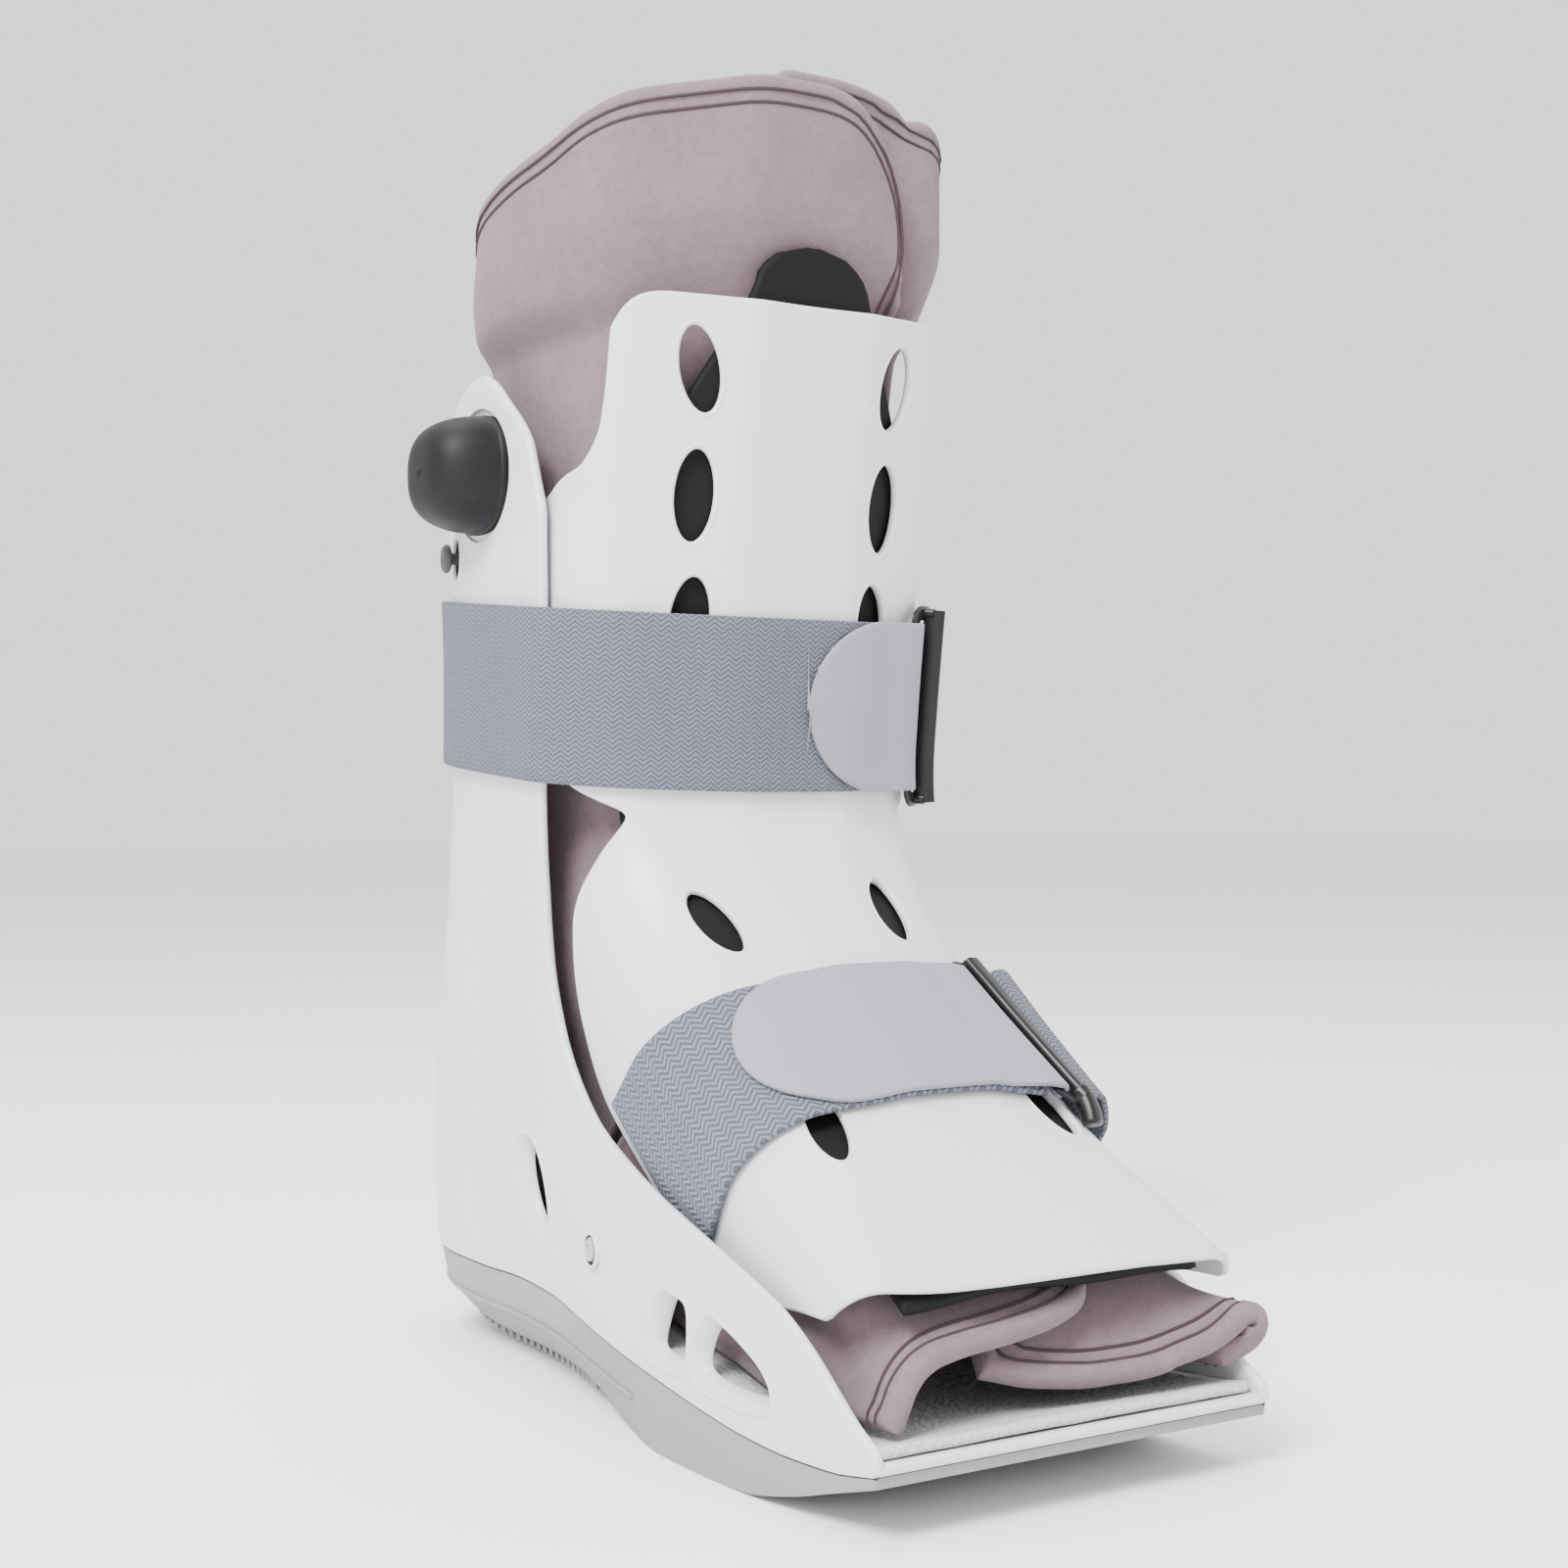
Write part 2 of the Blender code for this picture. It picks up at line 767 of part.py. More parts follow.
def frame_at(point, outward, up=(0, 0, 1)):
    """Return a frame in metres whose Z axis points outward and whose Y axis is nearest to up."""
    z = Vector(outward).normalized()
    x = Vector(up).cross(z).normalized()
    y = z.cross(x)
    frame = Matrix((x, y, z)).transposed().to_4x4()
    frame.translation = Vector(point) * MM
    return frame


def rear_wall(y, z):
    """Return the outer face's point and normal on the rear shell's left wall."""
    def x_at(py):
        rise = z - SOLE_AT["seam_z"](py)
        outline = half_outline(rise, 24, 24)
        ys = [p[1] for p in reversed(outline)]
        xs = [p[0] for p in reversed(outline)]
        return float(np.interp(py, ys, xs))

    slope = (x_at(y + 3) - x_at(y - 3)) / 6
    return Vector((x_at(y), y, z)), Vector((-1, slope, 0)).normalized()


def pump_frame(lift):
    """Return the frame of the pump's base, lifted off the shell's face."""
    point, normal = rear_wall(PUMP_PLACE.y, PUMP_PLACE.z)
    return frame_at(point + normal * lift, normal)


def valve_frame(lift):
    """Return the frame of the release valve, lifted off the shell's face."""
    point, normal = rear_wall(VALVE_PLACE.y, VALVE_PLACE.z)
    return frame_at(point + normal * lift, normal)


def pin_frame(side, lift):
    """Return the frame of a side pin, lifted off the shell's face."""
    point, normal = rear_wall(PIN_PLACE.y, PIN_PLACE.z)
    point.x *= -side
    normal.x *= -side
    return frame_at(point + normal * lift, normal)


def turned(name, material, profile, frame, steps=20, across=1.0, along=1.0, power=2.0):
    """Make a closed piece from (radius, height) rows round a frame's Z axis."""
    rows = []
    for radius, height in profile:
        ring = []
        for i in range(steps):
            angle = 2 * math.pi * i / steps
            c, s = math.cos(angle), math.sin(angle)
            x = math.copysign(abs(c) ** (2 / power), c) * radius * across
            y = math.copysign(abs(s) ** (2 / power), s) * radius * along
            ring.append(frame @ Vector((x * MM, y * MM, height * MM)) / MM)
        rows.append(ring)
    return new_object(name, solid_bmesh(grid(rows, ring=True, caps=True)), material)


def make_front_shell():
    """Make the front shell, from the shin over the instep to the toe, and cut its vents."""
    last = len(FRONT) - 1
    rows = []
    for i in range(FRONT_ROWS + 1):
        share = i / FRONT_ROWS
        points = []
        for side in (-1, 1):
            half = []
            for j in range(FRONT_STEPS + 1):
                edge = j / FRONT_STEPS
                lag = TOE_LAG[side] * edge ** 4
                top = 0.14 * (1 - edge ** 2) + 0.5 * edge ** 14
                row = top * (1 - share) + share * (last - lag)
                half.append(front_half(row, side=side)[j])
            points.append(half)
        rows.append(list(reversed(points[0])) + points[1][1:])
    shell = new_object("front_shell", grid(rows, flip=True), "shell")
    solidify(shell, FRONT_WALL)
    for vent in VENTS:
        for side in (-1, 1):
            row = front_row_at("crest_z", vent.crest_z)
            across = side * vent.across + vent.shift
            centre = instep_point(row, across, 0)
            along_row = (instep_point(row - 0.2, across, 0) - centre).normalized()
            sideways = instep_point(row, across + side * 2, 0) - centre
            normal = sideways.cross(along_row).normalized() * side
            lean = Matrix.Rotation(math.radians(vent.lean) * side, 3, normal)
            frame = frame_at(centre - normal * 6, normal, lean @ along_row)
            name = f"vent_{vent.name}_{'left' if side < 0 else 'right'}"
            cutter = disc(name, vent.width / 2, 12.0, frame, along=vent.length / vent.width, steps=14)
            boolean(shell, cutter, "DIFFERENCE")
    return shell


def make_front_pad():
    """Make the foam pad behind the front shell, with a rounded top that rises above it."""
    rows = []
    rise = smooth_curve([p.row for p in PAD], [p.half for p in PAD])
    samples = [-0.85, -0.78, -0.6, -0.35] + list(range(len(FRONT) - 1)) + [len(FRONT) - 1.2]
    for sample in samples:
        half = rise(sample)
        row = []
        for j in range(-6, 7):
            point = instep_point(max(sample, 0.0), half * j / 6, -PAD_DEPTH)
            if sample < 0:
                point.z -= sample * 19.0
                point.y += sample * 0.5
            row.append(point)
        rows.append(row)
    pad = new_object("front_pad", grid(rows, flip=True), "foam")
    solidify(pad, PAD_THICK)
    return pad


def make_outsole():
    """Make the rocker outsole, from the seam under the shell down to its flat ground face."""
    outline = rear_points(0, 0.4)
    rows = []
    for share in (0.0, 0.5):
        rows.append([sole_point(x, y, share, 1.0, 0.0) for x, y, _ in outline])
    for level in SOLE_LEVELS:
        rows.append([sole_point(x, y, 1.0, level.height, level.inset) for x, y, _ in outline])
    for share in (0.5, 0.0):
        rows.append([sole_point(x, y, share, 0.0, 1.0) for x, y, _ in outline])
    bm = bmesh.new()
    net = [[bm.verts.new(Vector(p) * MM) for p in row] for row in rows]
    for lower, upper in zip(net, net[1:]):
        for i in range(len(lower) - 1):
            bm.faces.new((lower[i], lower[i + 1], upper[i + 1], upper[i]))
    bm.faces.new([row[-1] for row in net])
    bmesh.ops.remove_doubles(bm, verts=bm.verts, dist=0.00002)
    bmesh.ops.recalc_face_normals(bm, faces=bm.faces)
    sole = new_object("outsole", bm, "outsole")
    mirror(sole)
    return sole


def sole_point(x, y, share, height, inset):
    """Return a point of the outsole: share runs from its spine to its edge, height from its foot."""
    spine_y = min(y, HEEL_SPINE_Y)
    pull = SOLE_AT["inset"](y) * inset
    edge_x = min(0.0, x + pull * min(1.0, abs(x) / 20))
    edge_y = y - max(0.0, pull) * max(0.0, (y - HEEL_SPINE_Y) / 46)
    py = spine_y + (edge_y - spine_y) * share
    top = SOLE_AT["seam_z"](py) - GAP
    foot = SOLE_AT["ground_z"](py)
    return (edge_x * share, py, foot + (top - foot) * height)


def make_insole():
    """Make the thin insole that lies on the tray's floor."""
    rows = []
    for share in (0.0, 0.5, 0.8, 1.0):
        row = []
        for x, y, _ in rear_points(4, REAR_WALL + 11.0):
            spine_y = min(y, HEEL_SPINE_Y)
            py = spine_y + (min(y, 88.0) - spine_y) * share
            py = max(py, TOE_Y + 3.0)
            row.append((x * share, py, SOLE_AT["seam_z"](py) + REAR_WALL + GAP + 0.2 + INSOLE_THICK))
        rows.append(row)
    insole = new_object("insole", grid(rows, flip=True), "loop_fabric")
    mirror(insole)
    solidify(insole, INSOLE_THICK)
    return insole


def leg_half(z, steps=15):
    """Return one half of the leg sleeve's outline at one level, from the shin to the calf."""
    front, half, turn, back, panel = (
        LEG_AT[name](z) for name in ("front_y", "half", "turn_y", "back_y", "panel")
    )
    path = [(x, q) for x, q in front_path(half, 18, panel, 22, 0, LINER_LEAN) if q < turn - front]
    side = path[-1][0]
    points = [(x, front + q) for x, q in path]
    for i in range(1, 13):
        angle = math.radians(90 * (1 - i / 12))
        power = 2 / 2.3
        points.append((side * math.sin(angle) ** power, turn + (back - turn) * math.cos(angle) ** power))
    lengths = [0.0]
    for a, b in zip(points, points[1:]):
        lengths.append(lengths[-1] + math.dist(a, b))
    result = []
    for i in range(steps + 1):
        s = lengths[-1] * i / steps
        result.append((float(np.interp(s, lengths, [p[0] for p in points])),
                       float(np.interp(s, lengths, [p[1] for p in points]))))
    return result


def leg_ring(z):
    """Return the leg sleeve's open ring at one level: outer flap, left, back, right, inner flap."""
    half = leg_half(z)
    left = [(-x, y) for x, y in half]
    right = list(half)
    front = half[0][1]
    outer = [(x, front + rise) for x, rise in OUTER_FLAP]
    inner = [(x, front + rise) for x, rise in INNER_FLAP]
    ring = outer + left + list(reversed(right))[1:]
    cut = [p for p in ring if not (p in right[:RIGHT_START])]
    return cut + inner


def rim_height(x, y, inner):
    """Return the height of the sleeve's rim above a place on its outline."""
    share = min(1.0, max(0.0, 0.5 + x / 16)) if y > 0 else float(inner)
    return RIM_AT["left_z"](y) * (1 - share) + RIM_AT["right_z"](y) * share


def make_liner_leg():
    """Make the padded leg sleeve, whose left flap laps over its right one at the shin."""
    levels = [38, 75, 125, 150, 172, 205, 260, 312, 340, 358, 378, 398]
    rows = []
    for z in levels:
        ring = leg_ring(z)
        last = len(ring) - 1
        row = []
        for i, (x, y) in enumerate(ring):
            rim = rim_height(x, y, i > last / 2)
            tip = min(i, last - i)
            rim -= CORNER_DROP[tip] if tip < len(CORNER_DROP) else 0.0
            share = max(0.0, (z - RIM_BASE) / (levels[-1] - RIM_BASE))
            height = z if z <= RIM_BASE else RIM_BASE + share * (rim - RIM_BASE)
            row.append((x, y, height))
        rows.append(row)
    sleeve = new_object("liner_leg", grid(rows, flip=True), "fleece")
    solidify(sleeve, LINER_WALL)
    boolean(sleeve, half_space("ankle_cut"), "DIFFERENCE")
    return sleeve


def half_space(name):
    """Make the cutter that opens the leg sleeve towards the foot, along the ankle's plane."""
    bm = bmesh.new()
    bmesh.ops.create_cube(bm, size=1.0)
    size = Matrix.Diagonal((0.2, 0.4, 0.4, 1.0))
    turn = Matrix.Rotation(math.radians(-ANKLE_TILT), 4, "X")
    crest = Vector((0, ANKLE_CREST.y, ANKLE_CREST.z)) * MM
    shift = Matrix.Translation((0, 0, -0.2))
    bmesh.ops.transform(bm, matrix=Matrix.Translation(crest) @ turn @ shift @ size, verts=bm.verts)
    return new_object(name, bm)


def foot_path(row, side, steps=16):
    """Return one flap of the foot liner at one section, from its tip to the tray's floor."""
    tilt = math.radians(row.tilt)
    behind = Vector((0, math.cos(tilt), -math.sin(tilt)))
    crest = Vector((0, row.crest_y, row.crest_z))
    path = front_path(row.half, 14, row.panel, row.corner, 0)
    corner_q = path[9][1]
    reach = 20.0
    while crest.z + behind.z * reach > SOLE_AT["seam_z"](crest.y + behind.y * reach) + FOOT_FLOOR:
        reach += 0.5
    points = [(x, q) for x, q in path[:10] if q < reach]
    points.append((row.half - 0.4, corner_q + (reach - corner_q) * 0.45))
    points.append((row.floor_half, reach))
    inner = FLAP_LAP if side > 0 else 0.0
    tip = [(-row.lap, inner), (-row.lap / 2, inner)]
    points = tip + [(x, q + inner * max(0.0, min(1.0, (34 - x) / 14))) for x, q in points]
    lengths = [0.0]
    for a, b in zip(points, points[1:]):
        lengths.append(lengths[-1] + math.dist(a, b))
    result = []
    for i in range(steps + 1):
        s = lengths[-1] * i / steps
        x = float(np.interp(s, lengths, [p[0] for p in points]))
        q = float(np.interp(s, lengths, [p[1] for p in points]))
        result.append(crest + Vector((side * x, 0, 0)) + behind * q)
    return result


def toe_path(side, steps=16):
    """Return the toe end of one flap, from its tip to the tray's floor."""
    table = TOE_LEFT if side < 0 else TOE_RIGHT
    points = [Vector((p.x, p.y, p.z)) for p in table]
    lengths = [0.0]
    for a, b in zip(points, points[1:]):
        lengths.append(lengths[-1] + (b - a).length)
    result = []
    for i in range(steps + 1):
        s = lengths[-1] * i / steps
        result.append(Vector([float(np.interp(s, lengths, [p[k] for p in points])) for k in range(3)]))
    return result


def make_liner_foot(side):
    """Make one side of the foot liner: up from the tray's floor and over the instep."""
    rows = [foot_path(row, side) for row in FOOT] + [toe_path(side)]
    name = "liner_foot_left" if side < 0 else "liner_foot_right"
    flap = new_object(name, grid(rows, flip=side > 0), "fleece")
    solidify(flap, LINER_WALL - 0.5)
    return flap


def hull(points):
    """Return the convex outline of points in a plane, anticlockwise."""
    ordered = sorted(set(points))
    chains = []
    for sequence in (ordered, list(reversed(ordered))):
        chain = []
        for point in sequence:
            while len(chain) > 1:
                (ax, ay), (bx, by) = chain[-2], chain[-1]
                if (bx - ax) * (point[1] - ay) - (by - ay) * (point[0] - ax) > 0:
                    break
                chain.pop()
            chain.append(point)
        chains.append(chain[:-1])
    return chains[0] + chains[1]


def wrap_outline(z):
    """Return the taut outline round both shells at one level, from the crest towards -X."""
    points = []
    for i, (_, y) in enumerate(half_outline(z - 29.0)):
        rise = z + UPPER_SLOPE * (y + 60) - SOLE_AT["seam_z"](y)
        points.append(half_outline(rise)[i])
    points = [point for point in points if point[1] > -31]
    row = front_row_at("crest_z", z)
    crest, behind = front_frame(row)
    path = front_path(**front_values(row))
    points += [(x, crest.y + behind.y * q) for x, q in cut_path(path, 50, 14)]
    outline = hull([(round(s * x, 4), round(y, 4)) for x, y in points for s in (-1, 1)])
    start = min(range(len(outline)), key=lambda i: (outline[i][1], abs(outline[i][0])))
    outline = outline[start:] + outline[:start]
    lengths = [0.0]
    for a, b in zip(outline, outline[1:] + outline[:1]):
        lengths.append(lengths[-1] + math.dist(a, b))
    xs = [p[0] for p in outline] + [outline[0][0]]
    ys = [p[1] for p in outline] + [outline[0][1]]
    return lengths, xs, ys


WRAPS = {}


def wrap_at(level):
    """Return the taut outline at one level, working it out the first time."""
    level = round(level, 1)
    if level not in WRAPS:
        WRAPS[level] = wrap_outline(level)
    return WRAPS[level]


def loop_length():
    """Return the length of the upper strap's whole way round at its middle."""
    return wrap_at(UPPER_LEVEL)[0][-1]


def upper_place(s, rise, lift):
    """Return a point of the upper strap: s millimetres right of the crest, at a rise and a lift."""
    level = UPPER_LEVEL + rise
    lengths, xs, ys = wrap_at(level)
    total = lengths[-1]
    centre = zero_length(lengths, xs) + s * total / loop_length()

    def at(distance):
        d = distance % total
        return Vector((float(np.interp(d, lengths, xs)), float(np.interp(d, lengths, ys)), 0))

    here = (at(centre - 3) + at(centre) + at(centre + 3)) / 3
    run = at(centre + 4) - at(centre - 4)
    normal = Vector((run.y, -run.x, 0)).normalized()
    point = here + normal * lift
    point.z = level + UPPER_SLOPE * (point.y + 60)
    return point


def zero_length(lengths, xs):
    """Return the length along an outline at which it crosses the middle plane at the front."""
    total = lengths[-1]
    if xs[0] <= 0 <= xs[1]:
        return lengths[1] * (0 - xs[0]) / (xs[1] - xs[0])
    return total + (lengths[-2] - total) * (0 - xs[-1]) / (xs[-2] - xs[-1])


def crest_lengths():
    """Return the lengths along the crest from the front shell's top edge, ten to a table row."""
    lengths = [0.0]
    for step in range(1, (len(FRONT) - 1) * 10 + 1):
        before, _ = front_frame((step - 1) / 10)
        here, _ = front_frame(step / 10)
        lengths.append(lengths[-1] + (here - before).length)
    return lengths


CREST_LENGTHS = crest_lengths()
CREST_ROWS = [i / 10 for i in range(len(CREST_LENGTHS))]


def lower_place(s, rise, lift):
    """Return a point of the lower strap: s millimetres right of the crest, at a rise and a lift."""
    middle = float(np.interp(front_row_at("crest_z", LOWER_ROW_Z), CREST_ROWS, CREST_LENGTHS))
    sweep = -4.0 * max(0.0, -s - 20) / 60
    row = float(np.interp(middle + sweep - rise, CREST_LENGTHS, CREST_ROWS))
    return instep_point(row, s, lift)


def ribbon(name, material, place, path, half_width, width_steps=4):
    """Make a flat band through (s, lift) stations of a strap, as wide as half_width says."""
    rows = []
    for s, lift in path:
        half = half_width(s)
        row = []
        for i in range(width_steps + 1):
            rise = half * (2 * i / width_steps - 1)
            row.append(place(s, rise, lift))
        rows.append(row)
    band = new_object(name, grid(rows), material)
    modifier = band.modifiers.new("cloth", "SOLIDIFY")
    modifier.thickness = WEBBING_THICK * MM
    modifier.offset = 0.0
    return band


def stations(start, end, lift, spacing=10.0):
    """Return evenly spaced (s, lift) stations from one place along a strap to another."""
    count = max(2, round(abs(end - start) / spacing))
    return [(start + (end - start) * i / count, lift) for i in range(count + 1)]


def wrapped(bar, side, low, high):
    """Return the stations of a band that passes round a ring's bar from its low side to its high."""
    path = [(bar - side * 2.5, low)]
    for i in range(7):
        angle = math.pi * i / 6
        out = (high - low) / 2 * math.sin(angle)
        path.append((bar + side * out, (low + high) / 2 - (high - low) / 2 * math.cos(angle)))
    return path


def make_strap(name, place, strap, start, width):
    """Make one strap set: the main band, its tab folded back through the ring, and the ring."""
    low = STRAP_LIFT[name] + WEBBING_THICK / 2
    high = low + 2 * (RING_WIRE + 3.5 * GAP + WEBBING_THICK / 2)
    flat = low + WEBBING_THICK + 3 * GAP

    def full(_):
        return width / 2

    def tab(s):
        left = s - strap.tab_tip
        radius = strap.tab_half
        if left >= radius:
            return width / 2 - 0.8
        return max(1.5, (width / 2 - 0.8) * math.sqrt(max(0.0, 1 - ((radius - left) / radius) ** 2)))

    main = stations(start, strap.ring - 3.2, low)
    if name == "upper":
        tail = list(reversed(wrapped(strap.far_bar - loop_length(), -1, low, high)))
        end = [(strap.far_bar - loop_length() + reach, flat) for reach in (30.0, 18.0, 9.0)]
        main = end + tail + stations(start, strap.ring - 3.2, low)
    ribbon(f"{name}_strap", "webbing", place, main, full, 2 if name == "upper" else 4)
    fold = wrapped(strap.ring, 1, low, high)[1:] + [(strap.ring - 5.0, high), (strap.ring - 11.0, flat + 1.2)]
    fold += stations(strap.ring - 18, strap.tab_tip + strap.tab_half, flat, 9.0)
    fold += [(strap.tab_tip + strap.tab_half * (1 - math.sin(math.radians(a))), flat) for a in (20, 40, 58, 74, 90)]
    ribbon(f"{name}_tab", "hook_tape", place, fold, tab)
    if name == "lower":
        path = wrapped(strap.far_bar, -1, low, high) + [(strap.far_bar + 5.0, high)]
        path += stations(strap.far_bar + 12, strap.far_bar + 21, flat, 9.0)
        ribbon(f"{name}_keeper", "webbing", place, path, full)
    make_ring(f"{name}_ring", place, strap, (low + high) / 2)


def make_ring(name, place, strap, lift):
    """Make a rectangular wire loop round whose two long bars the webbing turns."""
    corners = [(strap.ring, -RING_HALF), (strap.ring, RING_HALF)]
    corners += [(strap.far_bar, RING_HALF), (strap.far_bar, -RING_HALF)]
    curve = bpy.data.curves.new(name, "CURVE")
    curve.dimensions = "3D"
    curve.bevel_depth = RING_WIRE * MM
    curve.bevel_resolution = 2
    curve.resolution_u = 1
    spline = curve.splines.new("POLY")
    points = []
    for i, (s, rise) in enumerate(corners):
        before = corners[i - 1]
        after = corners[(i + 1) % 4]
        for other in (before, after):
            length = math.dist((s, rise), other)
            share = 2.5 / length
            points.append((s + (other[0] - s) * share, rise + (other[1] - rise) * share))
    spline.points.add(len(points) - 1)
    spline.use_cyclic_u = True
    for knot, (s, rise) in zip(spline.points, points):
        knot.co = (*(place(s, rise, lift) * MM), 1.0)
    curve.materials.append(finish("ring"))
    ring = bpy.data.objects.new(name, curve)
    BOOT.objects.link(ring)
    return ring


def make_pump():
    """Make the rubber pump bulb on its flat flange."""
    profile = [(PUMP_HALF + 0.6, 0.0), (PUMP_HALF + 0.6, 1.5), (PUMP_HALF, 2.0)]
    for i in range(1, 6):
        angle = math.radians(90 * i / 6)
        profile.append((PUMP_HALF * math.cos(angle) ** 0.8, 2.0 + (PUMP_HEIGHT - 2.0) * math.sin(angle)))
    profile.append((2.0, PUMP_HEIGHT + 0.1))
    return turned("pump_bulb", "rubber", profile, pump_frame(-1.4 + GAP), 28, 1.0, 0.93, 2.5)


def make_valve():
    """Make the release valve: its collar in the shell and the button that presses into it."""
    collar = turned("valve_collar", "rubber", [(VALVE_HOLE - GAP, -3.0), (VALVE_HOLE - GAP, 0.3)],
                    valve_frame(0), 24, 1.0, 1.4)
    hole = disc("valve_bore", 2.2, 12.0, valve_frame(-6.0), steps=16)
    boolean(collar, hole, "DIFFERENCE")
    stem = 1.8
    profile = [(stem, -2.5), (stem, 2.4), (4.0, 2.6), (4.5, 3.2), (4.2, 4.2), (2.6, 4.8)]
    button = turned("valve_button", "rubber", profile, valve_frame(0), 16)
    return collar, button


def make_pins():
    """Make the two pins that join the foot tray's side walls."""
    for side in (-1, 1):
        name = "pin_left" if side < 0 else "pin_right"
        turned(name, "pin", [(PIN_RADIUS, -2.6), (PIN_RADIUS, 0.6), (PIN_RADIUS * 0.6, 1.0)],
               pin_frame(side, 0), 14)


def start_scene():
    """Clear the scene and make the two collections."""
    for obj in list(bpy.data.objects):
        bpy.data.objects.remove(obj)
    found = []
    for name in ("walking_boot", "cutters"):
        collection = bpy.data.collections.new(name)
        bpy.context.scene.collection.children.link(collection)
        found.append(collection)
    return found


BOOT, CUTTERS = start_scene()
make_rear_shell()
make_outsole()
make_insole()
make_front_shell()
make_front_pad()
make_liner_leg()
for flap_side in (-1, 1):
    make_liner_foot(flap_side)
make_strap("upper", upper_place, UPPER_STRAP, UPPER_STRAP.far_bar + 14 - loop_length(), WEBBING_WIDTH)
make_strap("lower", lower_place, LOWER_STRAP, -98.0, WEBBING_WIDTH - 3)
make_pump()
make_valve()
make_pins()
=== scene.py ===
"""Looks of the walking boot: shells, padded liner, straps, pump and rocker sole, built round the CAD frame.

Lengths are in millimetres and become metres where the points are made. X runs across the boot, -Y points
to the toe, +Z is up, and the origin lies on the ground under the leg, as in the frame.
"""
from __future__ import annotations

import logging
import math
from dataclasses import dataclass, field
from enum import Enum
from typing import Any, Callable, NamedTuple, Sequence

import bmesh
import bpy
import numpy as np
from mathutils import Matrix, Vector, noise
from mathutils.bvhtree import BVHTree


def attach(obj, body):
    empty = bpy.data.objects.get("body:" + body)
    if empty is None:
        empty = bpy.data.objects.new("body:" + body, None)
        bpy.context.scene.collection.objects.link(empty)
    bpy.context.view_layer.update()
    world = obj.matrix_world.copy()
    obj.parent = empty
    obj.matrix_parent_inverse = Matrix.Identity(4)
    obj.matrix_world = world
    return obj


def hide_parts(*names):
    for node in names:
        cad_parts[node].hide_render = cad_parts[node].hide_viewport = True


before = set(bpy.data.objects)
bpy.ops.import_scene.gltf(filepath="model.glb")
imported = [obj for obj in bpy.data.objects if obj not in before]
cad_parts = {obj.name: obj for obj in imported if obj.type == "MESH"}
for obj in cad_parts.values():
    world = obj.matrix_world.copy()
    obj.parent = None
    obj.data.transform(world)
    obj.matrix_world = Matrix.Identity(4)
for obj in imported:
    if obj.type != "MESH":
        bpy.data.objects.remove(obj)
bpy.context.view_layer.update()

logging.basicConfig(level=logging.INFO, format="%(message)s")
LOG = logging.getLogger("walking_boot")

MM = 0.001
WELD = 0.000002
BODY = "boot"
SIDES = ((-1, "left"), (1, "right"))

# Driving sizes, the same as the frame's
REAR_WALL = 3.0
FRONT_WALL = 2.5
PAD_THICK = 4.0
PAD_DEPTH = FRONT_WALL + 0.5
LINER_WALL = 6.5
FLAP_LAP = LINER_WALL + 1.2
INSOLE_THICK = 3.0
WEBBING_WIDTH = 51.0
WEBBING_THICK = 1.8
TOE_Y = -190.0
HEEL_SPINE_Y = 58.0
PUMP_HALF = 18.5
PUMP_HEIGHT = 20.0
SEAM_GAP = 0.3


class SoleRow(NamedTuple):
    """The line where the rear shell meets the outsole, and the outsole's ground face under it."""

    y: float
    seam_z: float
    ground_z: float
    inset: float


SOLE = (
    SoleRow(112, 31.8, 17.0, 3.0),
    SoleRow(100, 31.0, 10.0, 10.0),
    SoleRow(90, 30.4, 6.0, 16.0),
    SoleRow(78, 29.8, 3.0, 20.0),
    SoleRow(60, 29.3, 0.8, 22.0),
    SoleRow(45, 29.0, 0.0, 22.0),
    SoleRow(15, 30.0, 0.0, 21.0),
    SoleRow(-10, 29.5, 0.0, 18.0),
    SoleRow(-35, 26.5, 0.0, 12.0),
    SoleRow(-60, 23.5, 0.0, 5.0),
    SoleRow(-90, 20.5, 0.0, 0.5),
    SoleRow(-115, 17.5, 0.0, 0.5),
    SoleRow(-132, 15.5, 0.5, 0.5),
    SoleRow(-152, 14.5, 4.0, 0.5),
    SoleRow(-172, 15.0, 9.5, 0.5),
    SoleRow(-190, 17.5, 14.5, 0.5),
)


class RearRow(NamedTuple):
    """One level of the rear shell, measured up from the seam with the outsole."""

    rise: float
    back_y: float
    turn_y: float
    heel_half: float
    fore_half: float
    front_y: float


REAR = (
    RearRow(0, 110.0, 58, 47.0, 64.6, TOE_Y),
    RearRow(3, 110.3, 59, 47.5, 65.0, TOE_Y),
    RearRow(12, 110.0, 60, 48.0, 65.0, TOE_Y),
    RearRow(30, 108.5, 60, 49.0, 65.0, -168),
    RearRow(55, 104.0, 54, 51.5, 62.5, -125),
    RearRow(85, 92.5, 40, 56.0, 62.0, -75),
    RearRow(120, 83.0, 22, 61.0, 63.0, -48),
    RearRow(155, 77.5, 6, 65.0, 65.5, -42),
    RearRow(200, 79.0, -4, 67.0, 67.0, -42),
    RearRow(245, 83.0, -4, 67.5, 67.5, -42),
    RearRow(282, 82.0, -4, 67.5, 67.5, -40),
)


class EdgePoint(NamedTuple):
    """A point of the rear shell's trimmed edge, seen from the side."""

    y: float
    z: float


